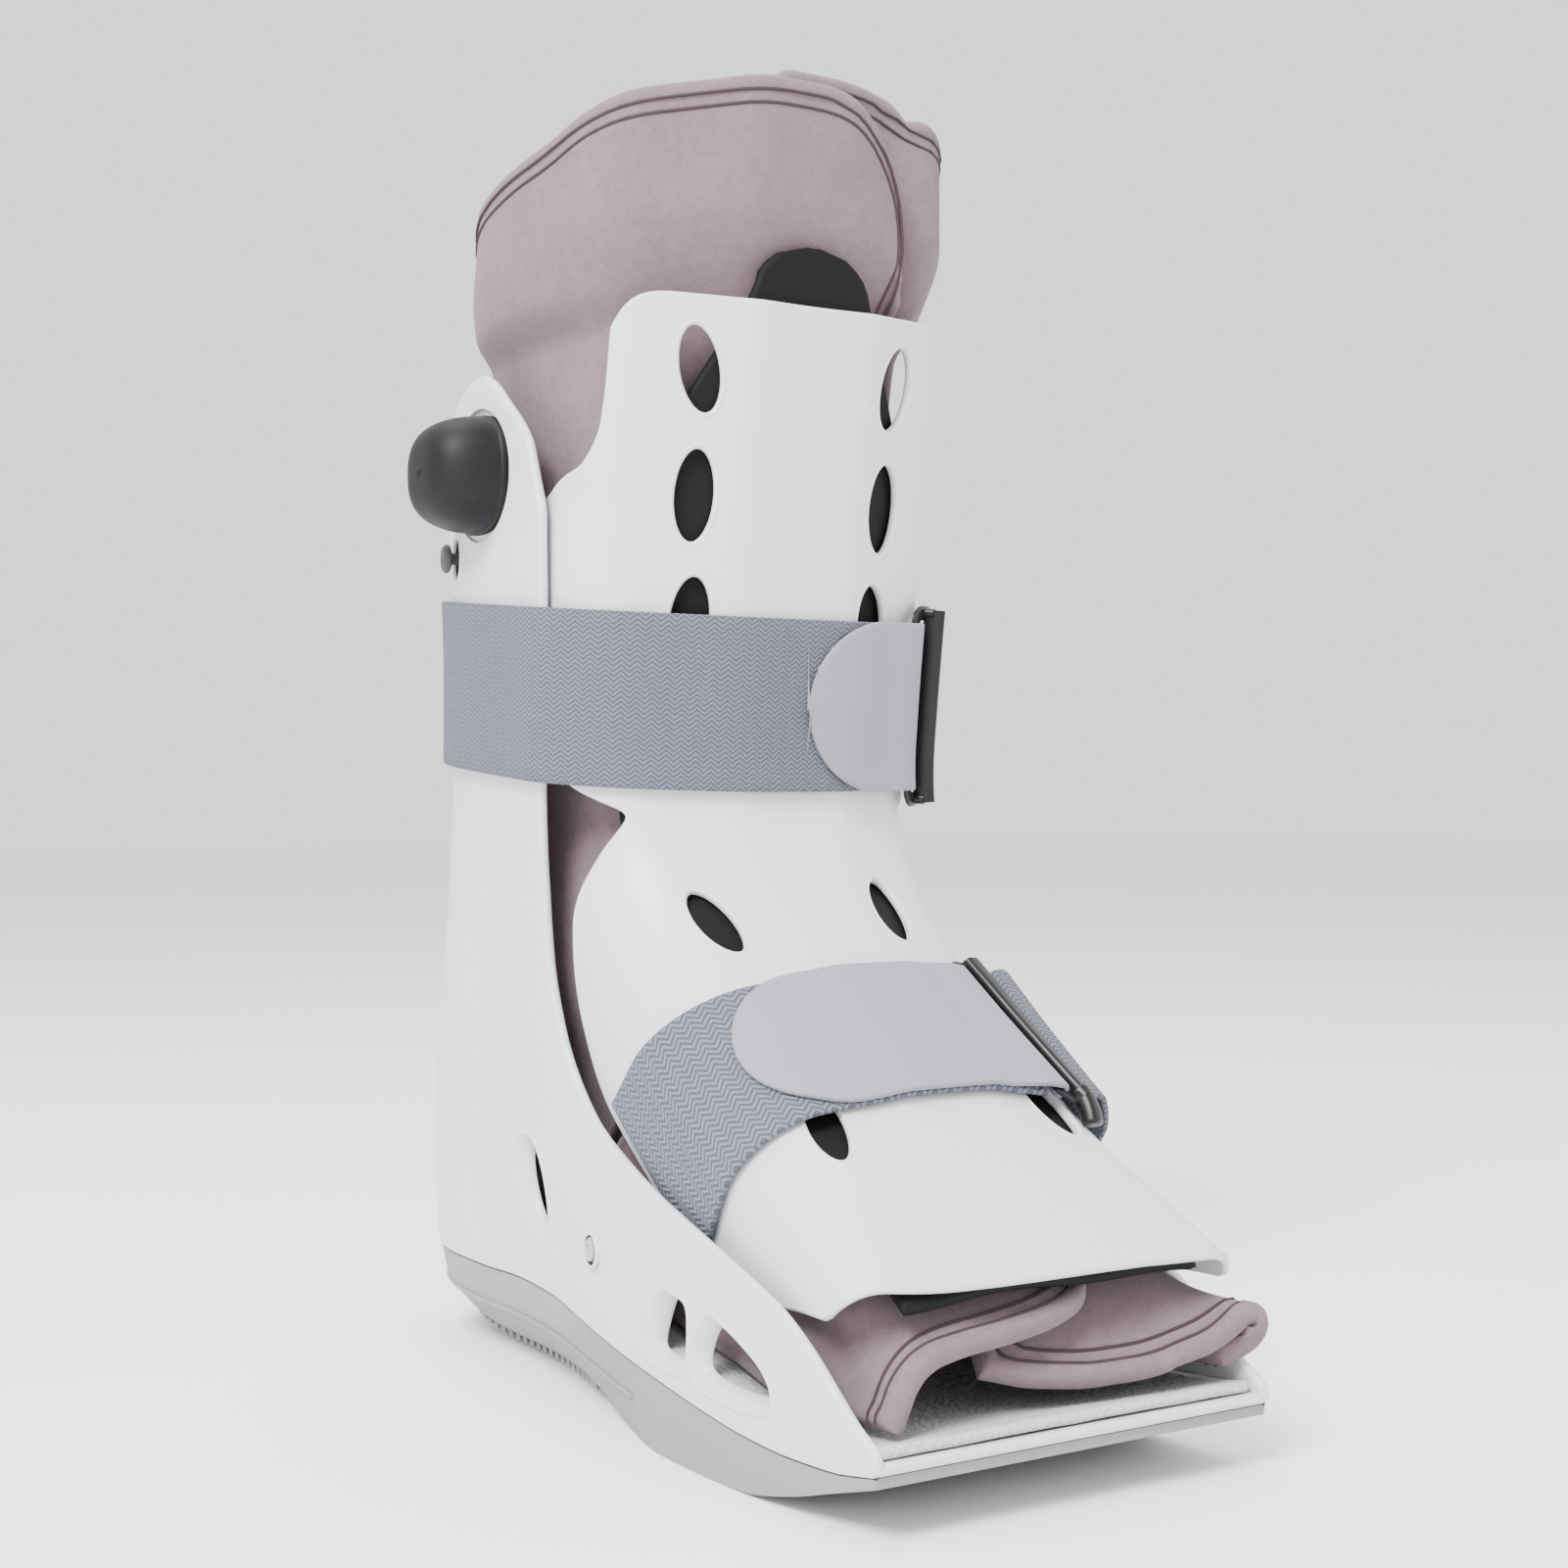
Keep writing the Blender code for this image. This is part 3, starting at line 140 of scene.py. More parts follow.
REAR_EDGE = tuple(EdgePoint(*row) for row in (
    (-183.0, 26.0), (-174.0, 32.7), (-161.5, 42.2), (-148.5, 49.5), (-127.0, 56.6), (-103.5, 63.8),
    (-80.5, 71.2), (-47.5, 87.0), (-29.5, 110.0), (-23.5, 131.0), (-22.5, 155.0), (-24.5, 180.0),
    (-28.5, 233.0), (-28.5, 262.0), (-22.5, 280.0), (-9.5, 293.5), (8.0, 304.5), (20.0, 302.5),
    (36.0, 295.0), (60.0, 285.0), (90.0, 281.0),
))
LIP_Z = 22.5


class FrontRow(NamedTuple):
    """One section of the front shell, from its top edge over the instep to the toe.

    The section's plane holds the X axis and leans by tilt from level. panel is the slope of the
    panels beside the flat middle, corner the radius where they turn into the sides, and reach how
    far behind the crest the shell's own edge lies.
    """

    crest_y: float
    crest_z: float
    tilt: float
    half: float
    flat: float
    panel: float
    corner: float
    reach: float


FRONT = (
    FrontRow(-76.0, 322, 0, 63.5, 20, 22, 22, 18),
    FrontRow(-72.7, 301, 0, 63.5, 20, 22, 22, 18),
    FrontRow(-70.0, 285, 0, 63.5, 20, 22, 22, 18.5),
    FrontRow(-67.8, 272, 0, 63.2, 20, 22, 22, 24),
    FrontRow(-66.0, 261, 0, 63.0, 20, 22, 23, 52),
    FrontRow(-63.0, 236, 0, 62.8, 20, 22, 23, 58),
    FrontRow(-60.0, 205, 0, 62.0, 20, 22, 24, 52),
    FrontRow(-58.7, 187, 5, 61.0, 19, 21, 25, 28),
    FrontRow(-59.5, 176, 13, 60.0, 18, 20, 27, 11.5),
    FrontRow(-62.3, 167, 20, 59.5, 17, 19, 28, 20),
    FrontRow(-68.0, 157.5, 29, 59.0, 16, 18, 29, 39),
    FrontRow(-79.0, 146, 38, 58.5, 14, 16, 30, 55),
    FrontRow(-94.0, 132.5, 45, 58.0, 13, 14, 30, 63),
    FrontRow(-111.0, 118, 51, 57.5, 13, 13, 29, 62),
    FrontRow(-128.5, 103.5, 56, 57.5, 14, 12, 26, 58),
    FrontRow(-146.0, 89.0, 60, 58.5, 17, 11, 21, 46),
    FrontRow(-164.0, 74.5, 64, 60.5, 22, 8, 14, 27),
    FrontRow(-184.0, 59.0, 66, 62.5, 28, 4, 9, 9),
)


class LinerRow(NamedTuple):
    """One level of the liner's leg sleeve."""

    z: float
    front_y: float
    half: float
    turn_y: float
    back_y: float
    panel: float


LEG = (
    LinerRow(38, -60.0, 36.0, 56, 99.0, 16),
    LinerRow(50, -60.0, 37.0, 56, 101.5, 16),
    LinerRow(75, -60.0, 40.0, 52, 99.0, 16),
    LinerRow(100, -60.0, 44.0, 42, 91.0, 16),
    LinerRow(125, -68.0, 48.0, 30, 83.0, 16),
    LinerRow(150, -55.0, 48.0, 18, 77.0, 18),
    LinerRow(172, -48.0, 48.0, 8, 73.0, 20),
    LinerRow(205, -47.6, 50.0, 0, 72.0, 22),
    LinerRow(240, -51.6, 51.0, -4, 74.0, 22),
    LinerRow(280, -57.2, 52.0, -4, 73.0, 22),
    LinerRow(312, -62.0, 53.0, -4, 68.0, 22),
    LinerRow(330, -65.0, 62.0, -6, 62.0, 21),
    LinerRow(358, -73.0, 65.5, -8, 57.0, 20),
    LinerRow(398, -73.0, 65.0, -8, 53.0, 20),
)


class RimRow(NamedTuple):
    """Heights of the leg sleeve's rim on the two sides of the boot, from the shin to the calf."""

    y: float
    left_z: float
    right_z: float


RIM = (
    RimRow(-75, 388, 392),
    RimRow(-66, 383, 389.5),
    RimRow(-58, 379, 384),
    RimRow(-50, 375, 379.5),
    RimRow(-40, 371.5, 378),
    RimRow(-30, 369, 375),
    RimRow(-10, 365, 369),
    RimRow(10, 360, 362),
    RimRow(30, 353, 353),
    RimRow(58, 345, 345),
)


class Window(NamedTuple):
    """An opening through both side walls of the rear shell, by its corners in the side view."""

    name: str
    ys: tuple
    zs: tuple


WINDOWS = (
    Window("heel_window", (-11, -2, 7, 12.5, 11, 3, -7, -13), (63, 74, 77, 68, 55, 48, 49, 55)),
    Window("middle_window", (-86, -94, -101, -106, -104, -95), (30, 43.5, 45, 42, 30, 28)),
    Window("toe_window", (-112, -118, -125, -141, -145, -129), (28.5, 41, 41, 34, 27.5, 25.5)),
)


class Place(NamedTuple):
    """A place on the left wall of the rear shell, or on the boot's middle plane."""

    y: float
    z: float


PUMP_PLACE = Place(9.0, 275.5)
VALVE_PLACE = Place(30.0, 252.0)
PIN_PLACE = Place(-47.0, 49.0)
ANKLE_CREST = Place(-84.0, 134.0)
VALVE_HOLE = 5.0
PIN_RADIUS = 2.6


class Vent(NamedTuple):
    """A pair of oval vents in the front shell, by the height of the crest in front of them."""

    name: str
    crest_z: float
    across: float
    shift: float
    length: float
    width: float
    lean: float


VENTS = (
    Vent("top", 300.5, 36.5, 0.0, 27.0, 13.5, -14),
    Vent("upper", 265.0, 35.5, 0.5, 28.5, 13.5, 0),
    Vent("shin", 229.0, 34.0, 0.0, 28.0, 13.5, 4),
    Vent("ankle", 147.0, 31.5, -4.0, 27.0, 12.0, -12),
    Vent("toe", 97.5, 39.0, 0.0, 28.0, 12.0, 8),
)


class PadRow(NamedTuple):
    """Half the width of the front pad at one row of the front shell's table."""

    row: float
    half: float


PAD = tuple(PadRow(*row) for row in (
    (-0.85, 2.0), (-0.78, 9.0), (-0.6, 15.5), (-0.35, 20.0), (0.0, 23.0), (1.0, 35.0), (2.0, 44.0),
    (3.0, 50.0), (8.0, 54.0), (14.0, 50.0), (17.0, 54.0),
))


class SoleLevel(NamedTuple):
    """A level of the outsole's side, by its share of the height and of the foot's inset."""

    height: float
    inset: float


SOLE_LEVELS = tuple(SoleLevel(*row) for row in (
    (1.0, 0.0), (0.62, 0.1), (0.3, 0.4), (0.1, 0.72), (0.0, 1.0),
))


class FootRow(NamedTuple):
    """One section of the foot liner, whose flaps lap over the instep."""

    crest_y: float
    crest_z: float
    tilt: float
    half: float
    floor_half: float
    panel: float
    corner: float
    lap: float


FOOT = (
    FootRow(-85.4, 123.4, 45, 48.5, 33.0, 14, 26, 16),
    FootRow(-102.0, 108.3, 51, 48.5, 42.0, 13, 26, 16),
    FootRow(-119.5, 93.8, 56, 49.0, 48.0, 12, 24, 16),
    FootRow(-137.5, 78.8, 60, 51.0, 51.0, 11, 20, 16),
    FootRow(-157.2, 63.3, 64, 53.0, 54.5, 8, 14, 14),
)


class ToePoint(NamedTuple):
    """A point of the foot liner's toe end, seen from the toe."""

    x: float
    y: float
    z: float


TOE_LEFT = tuple(ToePoint(*row) for row in (
    (17, -173, 52.5), (13, -179, 49.5), (0, -183, 47.5), (-22, -184, 45.5), (-41, -184, 43.5),
    (-49, -184, 39.5), (-54, -184, 32.5), (-56.5, -184, 26.0),
))
TOE_RIGHT = tuple(ToePoint(*row) for row in (
    (-20, -176, 34.5), (-8, -180, 31.5), (10, -183, 29.5), (30, -186, 30.0), (48, -189, 35.0),
    (60, -191, 45.0), (66.5, -191, 43.0), (66.5, -190, 33.0), (56.0, -184, 26.0),
))


class FlapPoint(NamedTuple):
    """A point of a flap's outline at the shin, behind the sleeve's foremost line."""

    x: float
    rise: float


OUTER_FLAP = tuple(FlapPoint(*row) for row in (
    (37.0, 7.5), (31.0, 5.0), (25.0, 2.6), (18.0, 0.4), (12.0, 0.0), (6.0, 0.0),
))
INNER_FLAP = tuple(FlapPoint(*row) for row in (
    (38.0, 15.5), (28.0, 11.5), (18.0, 8.2), (8.0, 7.6), (-2.0, 7.6), (-10.0, 7.6),
))
RIM_BASE = 312.0
FAR_CORNER_X = 44.0
FAR_CORNER_RUN = 8.0
FAR_CORNER_SHIFT = 14.0
FOOT_FLOOR = REAR_WALL + INSOLE_THICK + 2.5
SIDE_LEAN = 0.12
LINER_LEAN = -0.08
TOE_LAG = {-1: 0.6, 1: 0.1}


class StrapRow(NamedTuple):
    """Places along a strap in millimetres from its crossing of the crest, positive to the right."""

    ring: float
    far_bar: float
    tab_tip: float
    tab_half: float


UPPER_STRAP = StrapRow(50.0, 68.0, 4.0, 26.5)
LOWER_STRAP = StrapRow(36.0, 51.0, -50.0, 24.0)
LOWER_ROW_Z = 113.0
UPPER_LEVEL = 205.5
UPPER_SLOPE = 0.085
UPPER_LEVEL_Y = -60.0
RING_HALF = 29.0
STRAP_LIFT = {"upper": 1.5, "lower": 1.05}


def smooth_curve(keys: Sequence[float], values: Sequence[float]) -> Callable[[float], float]:
    """Return a function through the given values that never overshoots them.

    Args:
        keys: Places along the curve, rising or falling.
        values: The value at each place.

    Returns:
        A function of the place.
    """
    x = np.asarray(keys, float)
    y = np.asarray(values, float)
    if x[0] > x[-1]:
        x = x[::-1]
        y = y[::-1]
    step = np.diff(x)
    slope = np.diff(y) / step
    tangent = np.zeros_like(y)
    tangent[0] = slope[0]
    tangent[-1] = slope[-1]
    for i in range(1, len(x) - 1):
        if slope[i - 1] * slope[i] > 0:
            before = 2 * step[i] + step[i - 1]
            after = step[i] + 2 * step[i - 1]
            tangent[i] = (before + after) / (before / slope[i - 1] + after / slope[i])

    def at(key: float) -> float:
        key = min(max(float(key), x[0]), x[-1])
        i = min(int(np.searchsorted(x, key, side="right")) - 1, len(x) - 2)
        t = (key - x[i]) / step[i]
        rise = y[i + 1] - y[i]
        a = tangent[i] * step[i] - rise
        b = rise - tangent[i + 1] * step[i]
        return float(y[i] + t * rise + t * (1 - t) * (a * (1 - t) + b * t))

    return at


def columns(rows: Sequence[Any], key: str) -> dict[str, Callable[[float], float]]:
    """Return one smooth function of the key column for each other column of a table."""
    names = rows[0]._fields
    keys = [getattr(row, key) for row in rows]
    return {name: smooth_curve(keys, [getattr(row, name) for row in rows]) for name in names}


SOLE_AT = columns(SOLE, "y")
REAR_AT = columns(REAR, "rise")
LEG_AT = columns(LEG, "z")
RIM_AT = columns(RIM, "y")
FRONT_AT = {
    name: smooth_curve(range(len(FRONT)), [getattr(row, name) for row in FRONT]) for name in FRONT[0]._fields
}
SIDE_EDGE_AT = smooth_curve([LIP_Z] + [p.z for p in REAR_EDGE if p.z < 285 and p.y < 0],
                            [TOE_Y] + [p.y for p in REAR_EDGE if p.z < 285 and p.y < 0])
TOP_EDGE_AT = smooth_curve([p.y for p in REAR_EDGE if p.z > 255] + [115.0],
                           [p.z for p in REAR_EDGE if p.z > 255] + [279.0])


def path_lengths(path: Sequence[Any]) -> list[float]:
    """Return the length from the start of a path to each of its points."""
    lengths = [0.0]
    for a, b in zip(path, path[1:]):
        lengths.append(lengths[-1] + math.dist(a, b))
    return lengths


def resample(path: Sequence[Any], count: int, ease: float = 0.0) -> list[Vector]:
    """Return evenly spaced points along a path, with its corners eased over a distance.

    Args:
        path: Points with two or three coordinates.
        count: How many steps to take.
        ease: Half of the length over which each point is averaged.

    Returns:
        count + 1 points.
    """
    lengths = path_lengths(path)
    size = len(path[0])
    columns_of = [[p[k] for p in path] for k in range(size)]

    def at(s: float) -> Vector:
        s = min(max(s, 0.0), lengths[-1])
        return Vector([float(np.interp(s, lengths, column)) for column in columns_of])

    result = []
    for i in range(count + 1):
        s = lengths[-1] * i / count
        reach = min(ease, s, lengths[-1] - s)
        result.append((at(s - reach) + at(s - reach / 2) + at(s) + at(s + reach / 2) + at(s + reach)) / 5)
    return result


def front_row_at(column: str, value: float) -> float:
    """Return the row number, with its fraction, at which a column of the front table has a value."""
    low, high = 0.0, len(FRONT) - 1.0
    falling = FRONT_AT[column](low) > FRONT_AT[column](high)
    for _ in range(40):
        middle = (low + high) / 2
        if (FRONT_AT[column](middle) > value) == falling:
            low = middle
        else:
            high = middle
    return (low + high) / 2


def front_frame(row: float) -> tuple[Vector, Vector]:
    """Return the crest point and the direction behind the crest of one front section."""
    tilt = math.radians(FRONT_AT["tilt"](row))
    crest = Vector((0, FRONT_AT["crest_y"](row), FRONT_AT["crest_z"](row)))
    return crest, Vector((0, math.cos(tilt), -math.sin(tilt)))


def front_path(half: float, flat: float, panel: float, corner: float,
               lean: float = SIDE_LEAN) -> list[tuple[float, float]]:
    """Return one half of a front section as (x, depth) points: middle, panel, corner and side."""
    slope = math.radians(panel)
    start_x = half - corner * (1 - math.sin(slope))
    start_q = max(0.0, start_x - flat) * math.tan(slope)
    points = [(0.0, 0.0), (flat * 0.55, 0.0), (flat, 0.15)]
    points.append((flat + (start_x - flat) * 0.5, start_q * 0.5))
    for i in range(13):
        angle = slope + (math.radians(90) - slope) * i / 12
        x = start_x + corner * (math.sin(angle) - math.sin(slope))
        q = start_q + corner * (math.cos(slope) - math.cos(angle))
        points.append((x, q))
    end_q = points[-1][1]
    for i in range(1, 6):
        q = end_q + 24.0 * i
        points.append((half - lean * (q - end_q), q))
    return points


def offset_path(points: Sequence[tuple[float, float]], inset: float) -> list[tuple[float, float]]:
    """Move an open path sideways, towards its inner side."""
    moved = []
    for i, (x, q) in enumerate(points):
        before = points[max(0, i - 1)]
        after = points[min(len(points) - 1, i + 1)]
        run = (after[0] - before[0], after[1] - before[1])
        length = math.hypot(*run)
        moved.append((x - run[1] / length * inset, q + run[0] / length * inset))
    return moved


def cut_path(path: Sequence[tuple[float, float]], reach: float, steps: int) -> list[Vector]:
    """Resample a path up to a depth, evenly along its length."""
    lengths = path_lengths(path)
    depths = np.maximum.accumulate([q for _, q in path])
    total = float(np.interp(reach, depths, lengths))
    kept = [p for p, s in zip(path, lengths) if s < total - 0.01]
    end = [float(np.interp(total, lengths, [p[k] for p in path])) for k in range(2)]
    return resample(kept + [tuple(end)], steps, 2.5)


def front_values(row: float) -> dict[str, float]:
    """Return the shape values of a front section."""
    return {name: FRONT_AT[name](row) for name in ("half", "flat", "panel", "corner")}


def instep_point(row: float, across: float, lift: float) -> Vector:
    """Return a point on the front shell, across millimetres from the crest along the section.

    Args:
        row: Row number in the front table, with its fraction.
        across: Length along the section, positive to the right.
        lift: Height above the shell's outer face.

    Returns:
        The point in millimetres.
    """
    path = front_path(**front_values(row))
    lifted = offset_path(path, -lift)
    lengths = path_lengths(path)
    x = float(np.interp(abs(across), lengths, [p[0] for p in lifted]))
    q = float(np.interp(abs(across), lengths, [p[1] for p in lifted]))
    crest, behind = front_frame(row)
    return crest + Vector((math.copysign(x, across), 0, 0)) + behind * q


def rear_point(column: float, rise: float, edge_z: float | None = None) -> tuple[float, float]:
    """Return a point of the rear shell's left outline at one level.

    Args:
        column: From 0 at the heel's middle line to 1 at the front edge.
        rise: Height above the seam.
        edge_z: Height at which the shell's own trimmed edge is read, or None for the frame's outline.

    Returns:
        The point's x and y.
    """
    back, turn, heel, fore, front = (
        REAR_AT[name](rise) for name in ("back_y", "turn_y", "heel_half", "fore_half", "front_y")
    )
    arc = 0.4
    if column < arc:
        angle = math.radians(90 * column / arc)
        power = 2 / 2.35
        return -heel * math.sin(angle) ** power, turn + (back - turn) * math.cos(angle) ** power
    share = (column - arc) / (1 - arc)
    end = front if edge_z is None else SIDE_EDGE_AT(edge_z)
    y = turn + (end - turn) * share
    t = min(1.0, (turn - y) / (turn - front) / 0.72)
    return -(heel + (fore - heel) * t * t * (3 - 2 * t)), y


def rear_wall(y: float, z: float) -> tuple[Vector, Vector]:
    """Return the outer face's point and normal on the rear shell's left wall."""
    def x_at(py: float) -> float:
        rise = z - SOLE_AT["seam_z"](py)
        outline = [rear_point(i / 60, rise) for i in range(61)]
        return float(np.interp(py, [p[1] for p in reversed(outline)], [p[0] for p in reversed(outline)]))

    slope = (x_at(y + 3) - x_at(y - 3)) / 6
    return Vector((x_at(y), y, z)), Vector((-1, slope, 0)).normalized()


def frame_at(point: Vector, outward: Vector, up: Sequence[float] = (0, 0, 1)) -> Matrix:
    """Return a frame in metres whose Z axis points outward and whose Y axis is nearest to up."""
    z = Vector(outward).normalized()
    x = Vector(up).cross(z).normalized()
    y = z.cross(x)
    placed = Matrix((x, y, z)).transposed().to_4x4()
    placed.translation = Vector(point) * MM
    return placed


def hull(points: Sequence[tuple[float, float]]) -> list[tuple[float, float]]:
    """Return the convex outline of points in a plane, anticlockwise."""
    ordered = sorted(set(points))
    chains = []
    for sequence in (ordered, list(reversed(ordered))):
        chain: list[tuple[float, float]] = []
        for point in sequence:
            while len(chain) > 1:
                (ax, ay), (bx, by) = chain[-2], chain[-1]
                if (bx - ax) * (point[1] - ay) - (by - ay) * (point[0] - ax) > 0:
                    break
                chain.pop()
            chain.append(point)
        chains.append(chain[:-1])
    return chains[0] + chains[1]


def turn(count: int) -> list[float]:
    """Return the angles of evenly spaced points round a circle."""
    return [2 * math.pi * i / count for i in range(count)]


def squared(value: float, power: float) -> float:
    """Return a sine or cosine changed so that a circle gets flatter sides: power 2 changes nothing."""
    return math.copysign(abs(value) ** (2 / power), value)


class Workshop:
    """Makes meshes from rows of points and finishes them with modifiers."""

    @staticmethod
    def link(name: str, bm: bmesh.types.BMesh) -> bpy.types.Object:
        """Make an object from an edit mesh, and free that."""
        mesh = bpy.data.meshes.new(name)
        bm.to_mesh(mesh)
        bm.free()
        obj = bpy.data.objects.new(name, mesh)
        bpy.context.scene.collection.objects.link(obj)
        return obj

    @staticmethod
    def select(*objects: bpy.types.Object) -> None:
        """Select only the given objects, the first of them active."""
        for other in bpy.context.selected_objects:
            other.select_set(False)
        for obj in objects:
            obj.select_set(True)
        if objects:
            bpy.context.view_layer.objects.active = objects[0]

    @classmethod
    def surface(cls, name: str, rows: Sequence[Sequence[Any]], ring: bool = False, caps: bool = False,
                flip: bool = False,
                uvs: Sequence[Sequence[tuple[float, float]]] | None = None) -> bpy.types.Object:
        """Make an object from rows of points in millimetres.

        Args:
            name: The object's name.
            rows: Rows with the same number of points.
            ring: Whether each row closes on itself.
            caps: Whether the first and last rows are closed by a face.
            flip: Whether the faces point the other way.
            uvs: The place of each point in the piece's own map, in metres.

        Returns:
            The new object, at the origin.
        """
        bm = bmesh.new()
        net = [[bm.verts.new(Vector(p) * MM) for p in row] for row in rows]
        places = {}
        if uvs is not None:
            for row, uv_row in zip(net, uvs):
                for vert, uv in zip(row, uv_row):
                    places[vert] = uv
        count = len(net[0])
        for lower, upper in zip(net, net[1:]):
            for i in range(count if ring else count - 1):
                j = (i + 1) % count
                corners = (lower[i], lower[j], upper[j], upper[i])
                bm.faces.new(tuple(reversed(corners)) if flip else corners)
        if caps:
            ends = (net[0], list(reversed(net[-1]))) if flip else (list(reversed(net[0])), net[-1])
            for end in ends:
                bm.faces.new(end)
        if uvs is not None:
            layer = bm.loops.layers.uv.new("surface")
            for face in bm.faces:
                for loop in face.loops:
                    loop[layer].uv = places[loop.vert]
        bmesh.ops.remove_doubles(bm, verts=bm.verts, dist=WELD)
        return cls.link(name, bm)

    @classmethod
    def apply(cls, obj: bpy.types.Object, kind: str, **settings: Any) -> None:
        """Add a modifier with the given settings and apply it."""
        modifier = obj.modifiers.new(kind.lower(), kind)
        for name, value in settings.items():
            setattr(modifier, name, value)
        cls.select(obj)
        bpy.ops.object.modifier_apply(modifier=modifier.name)

    @classmethod
    def mirror(cls, obj: bpy.types.Object) -> None:
        """Add the right half to a left one."""
        cls.apply(obj, "MIRROR", use_axis=(True, False, False), merge_threshold=0.0001, use_clip=True)

    @classmethod
    def thicken(cls, obj: bpy.types.Object, thickness: float, rounding: float = 0.0, segments: int = 3,
                offset: float = -1.0) -> None:
        """Give a surface a wall on its inner side and round its rim."""
        before = [(vert.co.copy(), vert.normal.copy()) for vert in obj.data.vertices]
        cls.apply(obj, "SOLIDIFY", thickness=thickness * MM, offset=offset, use_even_offset=True,
                  use_quality_normals=True)
        inner = list(obj.data.vertices)[len(before):]
        for vert, (place, normal) in zip(inner, before):
            if (vert.co - place).length > 2 * thickness * MM:
                vert.co = place - normal * thickness * MM
        if rounding > 0:
            cls.apply(obj, "BEVEL", width=rounding * MM, segments=segments, limit_method="ANGLE",
                      angle_limit=math.radians(50), use_clamp_overlap=False)

    @classmethod
    def padded(cls, name: str, cloth: "Cloth", wall: float, roll: float = 0.0,
               proud: float = 0.0) -> bpy.types.Object:
        """Make a padded sheet whose free edges are fully round.

        Args:
            name: The object's name.
            cloth: The sheet's outer face.
            wall: Thickness of the padding.
            roll: Width of the bound edge.
            proud: How far the bound edge stands off the faces.

        Returns:
            The new object.
        """
        points, normals, reach = cloth.points, cloth.normals, cloth.edge_distance()
        radius = wall / 2
        depth = radius - np.sqrt(np.maximum(0.0, radius ** 2 - (radius - np.minimum(reach, radius)) ** 2))
        swell = proud * np.clip((roll - reach) / 0.9 + 0.5, 0.0, 1.0) * np.clip(reach / 1.2, 0.0, 1.0)
        outer = points - normals * (depth - swell)[..., None]
        inner = points - normals * (wall - depth + swell)[..., None]
        bm = bmesh.new()
        height, width = reach.shape
        net = [[bm.verts.new(Vector(outer[i, j]) * MM) for j in range(width)] for i in range(height)]
        back = [[net[i][j] if i in (0, height - 1) or j in (0, width - 1) else
                 bm.verts.new(Vector(inner[i, j]) * MM) for j in range(width)] for i in range(height)]
        for i in range(height - 1):
            for j in range(width - 1):
                for face, turned in ((net, False), (back, True)):
                    corners = (face[i][j], face[i][j + 1], face[i + 1][j + 1], face[i + 1][j])
                    if len(set(corners)) == 4 and bm.faces.get(corners) is None:
                        bm.faces.new(tuple(reversed(corners)) if turned else corners)
        bmesh.ops.recalc_face_normals(bm, faces=bm.faces)
        obj = cls.link(name, bm)
        cls.smooth(obj, 70)
        return obj

    @classmethod
    def cut(cls, obj: bpy.types.Object, cutters: Sequence[bpy.types.Object]) -> None:
        """Cut an object by others and remove them."""
        for cutter in cutters:
            cls.apply(obj, "BOOLEAN", operation="DIFFERENCE", solver="EXACT", object=cutter)
            bpy.data.objects.remove(cutter)

    @staticmethod
    def smooth(obj: bpy.types.Object, angle: float = 40.0) -> None:
        """Shade an object smooth, with its corners over an angle left sharp."""
        obj.data.shade_smooth()
        obj.data.set_sharp_from_angle(angle=math.radians(angle))

    @staticmethod
    def outwards(obj: bpy.types.Object) -> None:
        """Turn the faces of a closed mesh outwards."""
        bm = bmesh.new()
        bm.from_mesh(obj.data)
        bmesh.ops.recalc_face_normals(bm, faces=bm.faces)
        bm.to_mesh(obj.data)
        bm.free()

    @classmethod
    def tube(cls, name: str, path: Sequence[Vector], width: float, height: float | None = None,
             normals: Sequence[Vector] | None = None, closed: bool = False, sides: int = 12,
             squareness: float = 2.0) -> bpy.types.Object:
        """Make a closed tube or flat bar along a path.

        Args:
            name: The object's name.
            path: Points of the tube's middle line, in millimetres.
            width: Half of the section's width, across the normals.
            height: Half of the section's height, along the normals, or None for a round section.
            normals: The direction of the section's height at each point, or None to work it out.
            closed: Whether the path closes on itself.
            sides: Number of points in a section.
            squareness: 2 for an ellipse, more for a section with flatter sides.

        Returns:
            The new object.
        """
        points = [Vector(p) for p in path]
        count = len(points)
        tall = width if height is None else height
        rows = []
        normal = Vector((0.3, 0.2, 1.0))
        for i, point in enumerate(points):
            before = points[i - 1] if closed or i else points[i]
            after = points[(i + 1) % count] if closed or i < count - 1 else points[i]
            run = (after - before).normalized()
            normal = normals[i] if normals is not None else normal
            up = (normal - run * normal.dot(run)).normalized()
            normal = up if normals is None else normal
            side = run.cross(up)
            ring = []
            for angle in turn(sides):
                a = squared(math.cos(angle), squareness) * width
                b = squared(math.sin(angle), squareness) * tall
                ring.append(point + side * a + up * b)
            rows.append(ring)
        if closed:
            rows.append(rows[0])
        obj = cls.surface(name, rows, ring=True, caps=not closed)
        cls.outwards(obj)
        cls.smooth(obj, 50)
        return obj

    @classmethod
    def rolled(cls, name: str, loop: np.ndarray, normals: np.ndarray, wall: float,
               count: int) -> bpy.types.Object:
        """Round a shell's free edge with a bead along the middle of its wall."""
        middle = loop - normals * wall / 2
        path = resample([Vector(p) for p in middle], count, 1.2)[:-1]
        return cls.tube(name, path, wall / 2 + 0.04, closed=True, sides=12)

